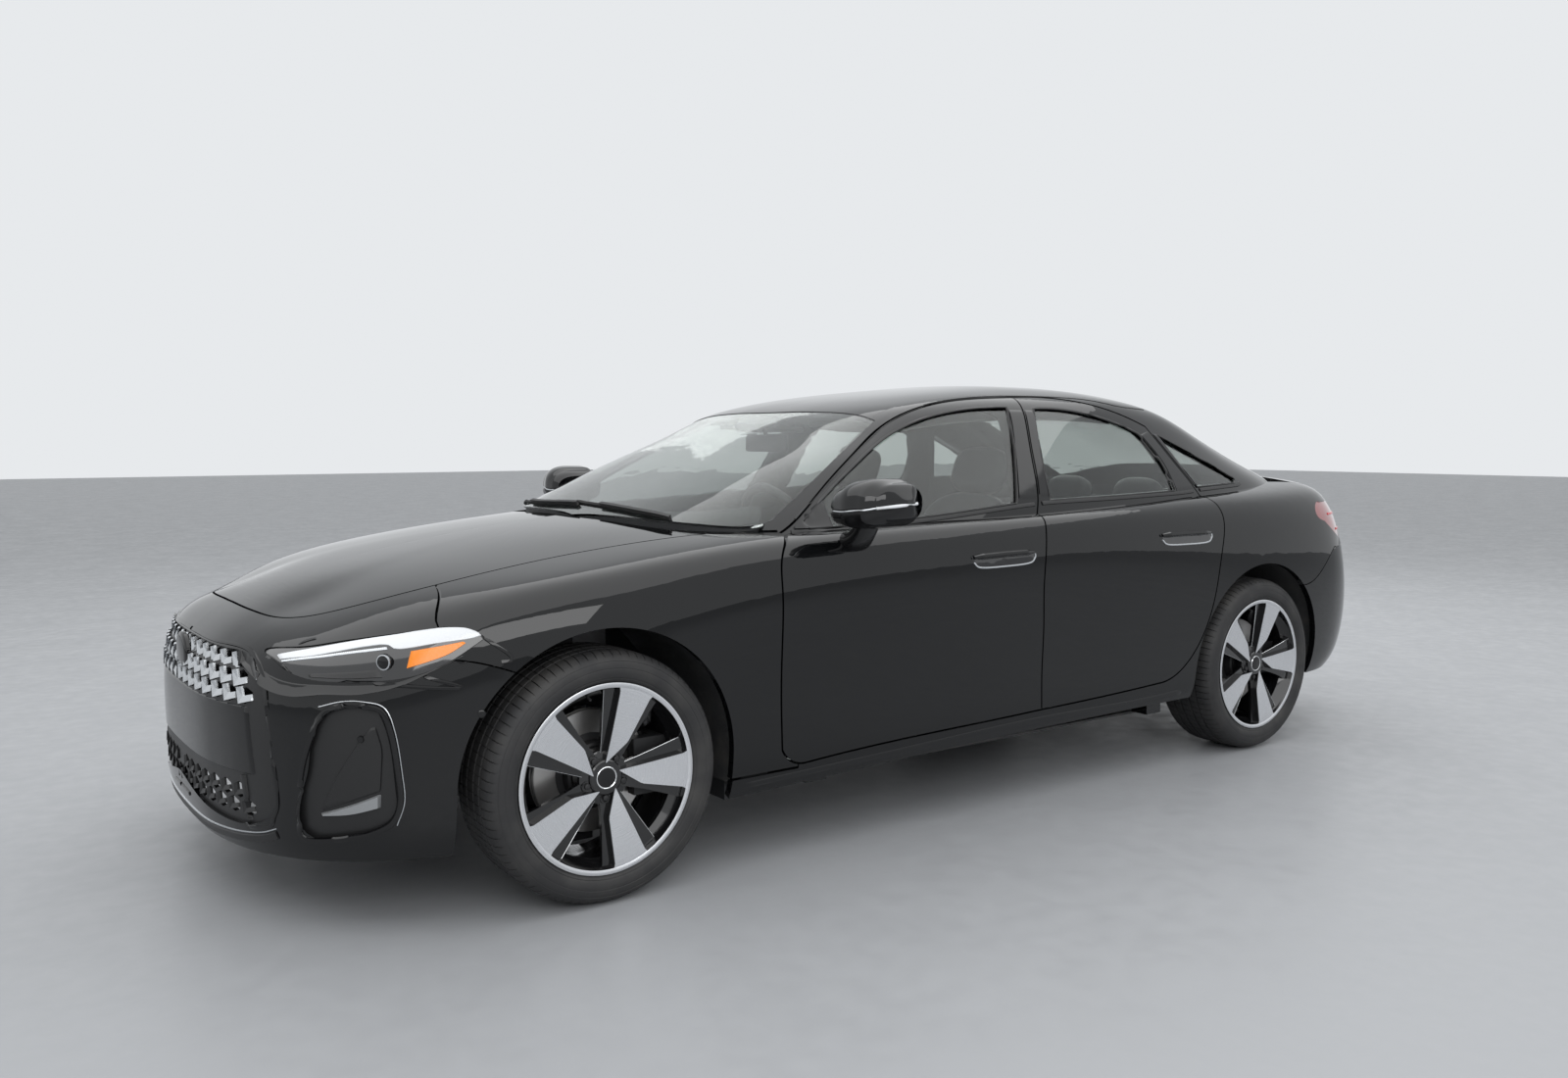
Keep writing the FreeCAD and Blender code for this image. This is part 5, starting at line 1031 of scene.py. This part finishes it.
mirrorFace = [middle] + [middle.lerp(p, 0.9) + Vector((0.0008, 0, 0)) for p in rim] + rim
mirrorFaces = [(0, i + 1, (i + 1) % 48 + 1) for i in range(48)]
mirrorFaces += [(i + 1, i + 49, (i + 1) % 48 + 49, (i + 1) % 48 + 1) for i in range(48)]
mirrorGlass = grained("mirrorGlass", (0.72, 0.74, 0.76), 0.03, 0.05, size=8.0, bump=0.0, metallic=1.0)
pieces += pair("mirrorGlass", (mirrorFace, mirrorFaces), mirrorGlass, frontDoors, slotName="window_glass")
footRows = []
# from the door skin up to the bowl
for k in range(12):
    t = k / 11
    middleX, y, z = -0.692 - 0.012 * t, -0.88 - 0.085 * t ** 0.8, 0.926 + 0.068 * t ** 1.6
    halfX, halfZ = 0.054 - 0.014 * math.sin(math.pi * min(1, t * 1.15) / 2), 0.034 - 0.01 * t
    for j in range(24):
        turn = 2 * math.pi * j / 24
        reach, rise = math.cos(turn), math.sin(turn)
        footRows.append(Vector((middleX + halfX * math.copysign(abs(reach) ** 0.7, reach),
                                y + 0.018 * rise * t, z + halfZ * math.copysign(abs(rise) ** 0.7, rise))))
footFaces = gridFaces(12, 24, closedColumns=True) + [tuple(range(24)), tuple(range(264, 288))[::-1]]
pieces += pair("mirrorFoot", (footRows, footFaces), pianoBlack, frontDoors)
for index in (0, 1):
    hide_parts("mirror_left" if index == 0 else "mirror_right")
print("mirrors ready")


# seats: padded blocks with seams, laid on the frame's seats and taking their place
def pad(low, high, power=3.2, seams=(), bolster=0.0, crown=0.0, steps=(34, 40)):
    # a cushion in its own box; seams are grooves across (kind, place), bolsters raise the two sides
    middle = (Vector(low) + Vector(high)) / 2
    half = (Vector(high) - Vector(low)) / 2
    rows, columns = steps
    verts = []
    for i in range(rows + 1):
        polar = math.pi * i / rows
        for j in range(columns):
            turn = 2 * math.pi * j / columns
            way = Vector((math.sin(polar) * math.cos(turn), math.sin(polar) * math.sin(turn),
                          math.cos(polar)))
            size = sum(abs(c) ** power for c in way) ** (-1 / power)
            x, y, z = way * size
            raised = bolster * max(0.0, (abs(y) - 0.52) / 0.48) ** 1.2 * (1 if z > 0 else 0)
            lift = raised - crown * (1 - x * x) * (z > 0)
            for kind, place in seams:
                value = x if kind == "across" else abs(y)
                lift -= 0.009 * math.exp(-((value - place) / 0.028) ** 2) * (1 if z > 0.3 else 0)
            verts.append(Vector((middle.x + x * half.x, middle.y + y * half.y,
                                 middle.z + z * half.z + lift)))
    return verts, gridFaces(rows + 1, columns, closedColumns=True)


def leaning(shape, hinge, degrees):
    return turnedAbout(shape, hinge, "Y", math.radians(degrees))


seat = {"middle": -0.372, "half": 0.232, "cushion": (-0.352, 0.135, 0.395, 0.515), "lean": 19.6,
        "hinge": (0.1, 0, 0.44), "back": 0.62, "insertHalf": 0.12, "headHalf": 0.132}
bench = {"half": 0.632, "cushion": (0.56, 1.06, 0.3, 0.462), "back": 0.64, "lean": 25.0,
         "hinge": (0.965, 0, 0.395), "places": (-0.4, 0.4), "heads": (-0.38, 0.0, 0.38)}


# quilting: one seam along each side, or a row of seams across
def seamRow(*places):
    return tuple(("across", place) for place in places)


# a back is made lying down with its face up, then stood up on its hinge
def stood(shapes, values):
    turned = [leaning(shape, (0, 0, 0), -(90 - values["lean"])) for shape in shapes]
    return [([v + Vector(values["hinge"]) for v in verts], faces) for verts, faces in turned]


covers, inserts = [], []
for way in (-1, 1):
    y = -seat["middle"] * way
    left, right = y - seat["half"], y + seat["half"]
    x0, x1, z0, z1 = seat["cushion"]
    covers.append(pad((x0, left, z0), (x1, right, z1), seams=(("along", 0.55),), bolster=0.028,
                      crown=0.012))
    inserts.append(pad((x0 + 0.012, y - seat["insertHalf"], z0 + 0.03),
                       (x1 - 0.03, y + seat["insertHalf"], z1 - 0.006),
                       seams=seamRow(-0.55, -0.18, 0.18, 0.52), steps=(40, 40)))
    back = pad((0, left, -0.065), (seat["back"], right, 0.065), seams=(("along", 0.55), ("across", 0.7)),
               bolster=0.03, crown=0.008)
    backInsert = pad((0.05, y - 0.118, -0.01), (seat["back"] - 0.12, y + 0.118, 0.063),
                     seams=seamRow(-0.6, -0.2, 0.2, 0.6), steps=(40, 40))
    head = pad((seat["back"] - 0.005, y - seat["headHalf"], -0.045),
               (seat["back"] + 0.18, y + seat["headHalf"], 0.06), power=2.9, crown=0.006)
    back, backInsert, head = stood((back, backInsert, head), seat)
    covers += [back, head]
    inserts.append(backInsert)
frontCover = meshPiece("frontSeatCovers", *merge(*covers), leather, sharp=60, slotName="seat_leather")
frontInner = meshPiece("frontSeatInserts", *merge(*inserts), leatherInsert, sharp=60,
                       slotName="seat_leather")
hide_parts("front_seats")

x0, x1, z0, z1 = bench["cushion"]
covers = [pad((x0, -bench["half"], z0), (x1, bench["half"], z1), seams=(("along", 0.36),), crown=0.01,
              steps=(34, 64))]
inserts = [pad((0.59, y - 0.195, 0.36), (1.02, y + 0.195, 0.466), seams=seamRow(-0.4, 0.2), steps=(36, 36))
           for y in bench["places"]]
backs = [pad((0, -bench["half"], -0.06), (bench["back"], bench["half"], 0.06),
             seams=(("along", 0.36), ("across", 0.72)), crown=0.006, steps=(34, 64))]
backs += [pad((0.6, y - 0.115, -0.05), (0.735, y + 0.115, 0.05), power=2.8) for y in bench["heads"]]
backInserts = [pad((0.06, y - 0.185, -0.02), (0.56, y + 0.185, 0.066), seams=seamRow(-0.4, 0.3),
                   steps=(36, 36))
               for y in bench["places"]]
covers += stood(backs, bench)
inserts += stood(backInserts, bench)
rearCover = meshPiece("rearSeatCovers", *merge(*covers), leather, sharp=60, slotName="seat_leather")
rearInner = meshPiece("rearSeatInserts", *merge(*inserts), leatherInsert, sharp=60, slotName="seat_leather")
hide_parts("rear_seat")
print("seats ready")

# headliner
roofUnder = treeOf("roof_panel", "windscreen", "backlight", "side_frame_left", "side_frame_right")


def under(x, y, gap):
    place = roofUnder.ray_cast(Vector((x, y, 1.8)), Vector((0, 0, -1)), 1.5)[0]
    return Vector((x, y, (place.z if place else 1.36) - gap))


linerValues = {"front": -0.31, "long": 1.33, "half": 0.52, "gap": 0.02, "sag": 0.062, "sides": 0.018,
               "thick": 0.006}
liner = []
for i in range(30):
    x = linerValues["front"] + linerValues["long"] * i / 29
    sag = linerValues["sag"] * min(1, max(0.0, math.sin(math.pi * i / 29)) * 3)
    row = [under(x, linerValues["half"] * (j / 12 - 1), 0.0) for j in range(25)]
    liner.append([Vector((p.x, p.y, p.z - linerValues["gap"] - sag
                          - linerValues["sides"] * abs(p.y / linerValues["half"]) ** 3)) for p in row])
meshPiece("headLining", *slabFrom(liner, (0, 0, linerValues["thick"])), headLining,
          slotName="cabin_plastic")
print("headliner ready")


# cabin details: inner mirror and pod, visors, display, vents, selector, cup rings and shelf
def inTheCabin(name, shape, look):
    meshPiece(name, *shape, look, slotName="cabin_plastic")


pod = {"front": -0.33, "long": 0.165, "half": 0.11, "narrowing": 0.045, "gap": 0.009}
podRows = []
for k in range(8):
    t = k / 7
    x, half = pod["front"] - pod["long"] * t, pod["half"] - pod["narrowing"] * t
    podRows.append([Vector((x, half * (j / 6 - 1), under(x, half * (j / 6 - 1), pod["gap"]).z))
                    for j in range(13)])
inTheCabin("sensorPod", slabFrom(podRows, (0.016, 0, -0.026)), darkPlastic)
inTheCabin("innerMirror", merge(boxy((-0.405, -0.125, 1.18), (-0.383, 0.125, 1.246), 0.009, 3),
                                tube([(-0.395, 0, 1.24), (-0.405, 0, 1.268), (-0.42, 0, 1.292)], 0.008, 16,
                                     10)),
           darkPlastic)
inTheCabin("innerMirrorFace", boxy((-0.3835, -0.118, 1.187), (-0.3815, 0.118, 1.239), 0.0008, 1),
           mirrorGlass)
visors = merge(*[boxy((-0.285, y - 0.19, 1.262), (-0.135, y + 0.19, 1.28), 0.007, 2) for y in (-0.3, 0.3)])
inTheCabin("sunVisors", turnedAbout(visors, (-0.21, 0, 1.27), "Y", 0.12), headLining)
dashTree = treeOf("dashboard")


def dashTop(x, y):
    place = dashTree.ray_cast(Vector((x, y, 1.25)), Vector((0, 0, -1)), 0.9)[0]
    return place.z if place else 0.9


# one long display, bent towards the driver
display = {"left": -0.56, "wide": 0.78, "at": -0.628, "bend": 0.09, "low": 0.868, "high": 0.098,
           "lean": 0.02}
screenRows = []
for j in range(25):
    y = display["left"] + display["wide"] * j / 24
    x = display["at"] + display["bend"] * abs((y + 0.13) / 0.42) ** 2.2
    screenRows.append([Vector((x - display["lean"] * k / 5, y, display["low"] + display["high"] * k / 5))
                       for k in range(6)])
inTheCabin("displayBody", slabFrom(screenRows, (-0.016, 0, 0.001)), pianoBlack)
glassRows = [[p + Vector((0.0012, 0, 0)) for p in row[1:-1]] for row in screenRows[1:-1]]
inTheCabin("displayGlass", slabFrom(glassRows, (-0.001, 0, 0)), screenGlass)
vent = {"places": (-0.65, 0.65, 0.335), "half": 0.05, "low": 0.8, "high": 0.804, "pitch": 0.013,
        "bevel": 0.001}
ventBars = []
for y in vent["places"]:
    bars = [((-0.64, y - vent["half"], vent["low"] + vent["pitch"] * k),
             (-0.617, y + vent["half"], vent["high"] + vent["pitch"] * k)) for k in range(5)]
    bars += [((-0.632, y - 0.056, 0.79), (-0.626, y - 0.051, 0.868)),
             ((-0.632, y + 0.051, 0.79), (-0.626, y + 0.056, 0.868))]
    ventBars += [boxy(low, high, vent["bevel"], 1) for low, high in bars]
inTheCabin("dashVents", merge(*ventBars), satinTrim)
inTheCabin("dashStripe", merge(boxy((-0.628, 0.24, 0.776), (-0.618, 0.69, 0.783), 0.001, 1),
                               boxy((-0.628, -0.69, 0.776), (-0.618, -0.56, 0.783), 0.001, 1)), silver)
consoleTop = dashTop(-0.31, 0)
inTheCabin("selector", boxy((-0.335, -0.022, consoleTop - 0.004), (-0.275, 0.022, consoleTop + 0.022),
                            0.006, 2), pianoBlack)
cupProfile = [(0.036, 0.004), (0.04, 0.006), (0.043, 0.004), (0.043, -0.004), (0.036, -0.004)]
cups = [revolve(cupProfile, 40, axis="z", centre=(x, 0.0, dashTop(x, 0) + 0.001))
        for x in (-0.19, -0.19 + 0.095)]
inTheCabin("cupRings", merge(*cups), silver)
shelf = {"front": 1.235, "step": 0.024, "half": 0.5, "narrowing": 0.1, "height": 0.958, "rise": 0.016,
         "thick": 0.01}
shelfRows = []
for k in range(14):
    x = shelf["front"] + shelf["step"] * k
    wide = 1 - shelf["narrowing"] * (x - 1.24) / 0.3
    shelfRows.append([Vector((x, shelf["half"] * (j / 10 - 1) * wide,
                              shelf["height"] + shelf["rise"] * (x - 1.24) / 0.3))
                      for j in range(21)])
inTheCabin("parcelShelf", slabFrom(shelfRows, (0, 0, -shelf["thick"])), carpet)
print("cabin details ready")


cardValues = {"top": 0.905, "low": 0.4, "wall": -0.727, "thick": 0.004, "rest": 0.048, "restAt": 0.64,
              "restHigh": 0.05, "pull": 0.007}


# an inner door skin with an armrest, left side
def doorCard(x0, x1):
    top, low, rows = cardValues["top"], cardValues["low"], []
    for i in range(26):
        x = x0 + (x1 - x0) * i / 25
        ends = min(1, (i + 0.5) / 5), min(1, (25.5 - i) / 4)
        line = []
        for j in range(19):
            z = low + (top - low) * (j / 18)
            bulge = math.exp(-((z - cardValues["restAt"]) / cardValues["restHigh"]) ** 2)
            rest = cardValues["rest"] * bulge * ends[0] * ends[1]
            upper = 0.012 * max(0.0, (z - 0.78) / 0.16)
            line.append(Vector((x, cardValues["wall"] + rest + upper * 0.4, z)))
        rows.append(line)
    return slabFrom(rows, (0, -cardValues["thick"], 0))


for label, x0, x1, bodies in (("Front", -0.82, 0.05, frontDoors), ("Rear", 0.3, 0.86, rearDoors)):
    pair("doorCard" + label, doorCard(x0, x1), cabinSkin, bodies, slotName="cabin_plastic")
    pull = [(x0 + along, cardValues["wall"] + out, z) for along, out, z in (
        (0.3, 0.022, 0.77), (0.34, 0.034, 0.776), (0.44, 0.034, 0.782), (0.48, 0.022, 0.782))]
    pair("doorPull" + label, tube(pull, cardValues["pull"], 24, 10), silver, bodies,
         slotName="cabin_plastic")
print("door cards ready")

# wipers: each blade lies on the windscreen and its arm above it
wiperValues = {"steps": 40, "bladeUp": 0.0065, "armUp": 0.017, "armSteps": 28,
               "blade": [(-0.003, -0.005), (0.003, -0.005), (0.005, 0.004), (0, 0.009), (-0.005, 0.004)],
               "arm": [(-0.006, -0.003), (0.006, -0.003), (0.006, 0.003), (-0.006, 0.003)]}
screenTree = treeOf("windscreen")
for label, line in (("Near", ((-1.12, -0.52, 0.975), (-1.135, -0.3, 0.985), (-1.12, 0.09, 0.995))),
                    ("Far", ((-1.135, 0.06, 0.99), (-1.14, 0.34, 0.99), (-1.08, 0.64, 0.99)))):
    path, normals = laid([Vector(p) + Vector((0.012, 0, 0)) for p in line], wiperValues["steps"],
                         screenTree)
    blade = [p + n * wiperValues["bladeUp"] for p, n in zip(path, normals)]
    meshPiece("wiperBlade" + label, *sweep(blade, normals, wiperValues["blade"]), rubber)
    reach = wiperValues["armSteps"]
    arm = [p + n * wiperValues["armUp"] for p, n in list(zip(path, normals))[:reach]]
    meshPiece("wiperArm" + label, *sweep(arm, normals[:reach], wiperValues["arm"]), darkPlastic)
print("wipers ready")


# the back: lamp strips, plate frame and blank plate, diffuser, reflectors and tail pipe trims
def behind(y, z, tree=skin):
    return cast((2.9, y, z), (-1, 0, 0), tree)[0]


tailTree = treeOf("tailgate", "rear_bumper", "tail_lamps")


def behindLine(points):
    return [behind(y, z, tailTree) for y, z in points]


tailOnly = treeOf("tail_lamps")


# a place on the lamp, seen from outside the corner
def aroundTail(turn, z):
    way = Vector((math.cos(math.radians(turn)), -math.sin(math.radians(turn)), 0))
    return cast(Vector((1.75, -0.55, z)) + way * 1.5, -way, tailOnly)[0]


tailValues = {"from": 36, "wide": 0.011, "out": 0.003}
for label, z, widest in (("Upper", 0.915, 66), ("Lower", 0.85, 56)):
    line = [aroundTail(tailValues["from"] + (widest - tailValues["from"]) * k / 4, z) for k in range(5)]
    pair("tailStrip" + label, strip(line, 50, tailValues["wide"], tailValues["out"], tree=tailOnly),
         redGlow, slotName="tail_lens")
plate = {"half": 0.262, "low": 0.503, "high": 0.617, "plateHalf": 0.152, "plateLow": 0.545,
         "plateHigh": 0.613}
corners = [(-plate["half"], plate["high"]), (plate["half"], plate["high"]), (plate["half"], plate["low"]),
           (-plate["half"], plate["low"])]
meshPiece("plateFrame", *strip([behind(y * 1.02, z, tailTree) for y, z in corners], 160, 0.008, 0.004,
                               tree=tailTree, closed=True, smooth=False), pianoBlack)
plateAt = behind(0, 0.56, tailTree).x
meshPiece("blankPlate", *boxy((plateAt - 0.002, -plate["plateHalf"], plate["plateLow"]),
                              (min(plateAt + 0.004, cadBox[1][0] - 0.0004), plate["plateHalf"],
                               plate["plateHigh"]), 0.001, 2), plateBlank)
lampBar = behindLine([(y, 0.634) for y in (-0.15, 0, 0.15)])
meshPiece("plateLampBar", *strip(lampBar, 30, 0.014, 0.006, tree=tailTree), darkPlastic)
diffuserTop = behindLine([(y, 0.42) for y in (-0.6, -0.35, 0, 0.35, 0.6)])
diffuserLow = behindLine([(y, 0.285) for y in (-0.58, -0.34, 0, 0.34, 0.58)])
meshPiece("diffuserField", *patch(diffuserTop, diffuserLow, 60, 8, 0.003, tree=tailTree), satinTrim)
finShape = [(-0.005, -0.002), (-0.0035, 0.016), (0.0035, 0.016), (0.005, -0.002)]
fins = [strip(behindLine([(y, z) for z in (0.41, 0.38, 0.34, 0.3)]), 20, 0.01, 0.014, tree=tailTree,
              shape=finShape) for y in (-0.36, -0.18, 0.0, 0.18, 0.36)]
meshPiece("diffuserFins", *merge(*fins), darkPlastic)
reflector = [behindLine([(y, z) for y in (-0.56, -0.64, -0.72)]) for z in (0.47, 0.452)]
pair("rearReflector", patch(*reflector, 24, 4, 0.003, tree=tailTree), redLens, slotName="tail_lens")
pipe = behindLine([(-0.455, 0.372), (-0.59, 0.372), (-0.61, 0.342), (-0.59, 0.312), (-0.455, 0.312),
                   (-0.435, 0.342)])
pair("tailPipeTrim", strip(pipe, 100, 0.01, 0.01, tree=tailTree, closed=True), machined,
     slotName="exhaust_steel")
print("rear ready")


# stage
def softLight(name, size, place, target, power, mirrored=True):
    lamp = bpy.data.lights.new(name, "AREA")
    lamp.shape = "RECTANGLE"
    lamp.size, lamp.size_y = size
    lamp.energy = power
    obj = bpy.data.objects.new(name, lamp)
    obj.location = place
    obj.rotation_euler = (Vector(target) - Vector(place)).to_track_quat("-Z", "Y").to_euler()
    obj.visible_glossy = mirrored
    scene.collection.objects.link(obj)


softLight("overheadLight", (16.0, 12.0), (-1.0, -1.0, 6.2), (-1.0, -1.0, 0), 620)
softLight("sideLight", (7.0, 2.4), (-2.5, -6.5, 3.4), (0, 0, 0.7), 150)
softLight("rearLight", (6.0, 2.4), (4.5, 5.0, 3.6), (0.4, 0, 0.7), 120, mirrored=False)

floorMesh = bpy.data.meshes.new("studioFloor")
floorMesh.from_pydata([(-40, -40, 0), (40, -40, 0), (40, 40, 0), (-40, 40, 0)], [], [(0, 1, 2, 3)])
floor = bpy.data.objects.new("studioFloor", floorMesh)
scene.collection.objects.link(floor)
floorLook = grained("studioFloor", view["floor"], 0.32, 0.5, size=14.0, bump=0.02)
floorMesh.materials.append(floorLook)

world = bpy.data.worlds.new("studio")
scene.world = world
world.use_nodes = True
sky = world.node_tree
sky.nodes.clear()
rays = add(sky, "LightPath")
seen = maths(sky, "MAXIMUM", maths(sky, "MAXIMUM", rays.outputs["Is Camera Ray"],
                                   rays.outputs["Is Glossy Ray"]),
             rays.outputs["Is Transmission Ray"])
soft = add(sky, "Background", {"Color": (*view["backdrop"], 1), "Strength": view["light"]})
shown = add(sky, "Background", {"Color": (*view["backdrop"], 1), "Strength": 1.0})
blend = add(sky, "MixShader", {0: seen, 1: soft.outputs[0], 2: shown.outputs[0]})
sky.links.new(blend.outputs[0], add(sky, "OutputWorld").inputs[0])
print("stage ready")
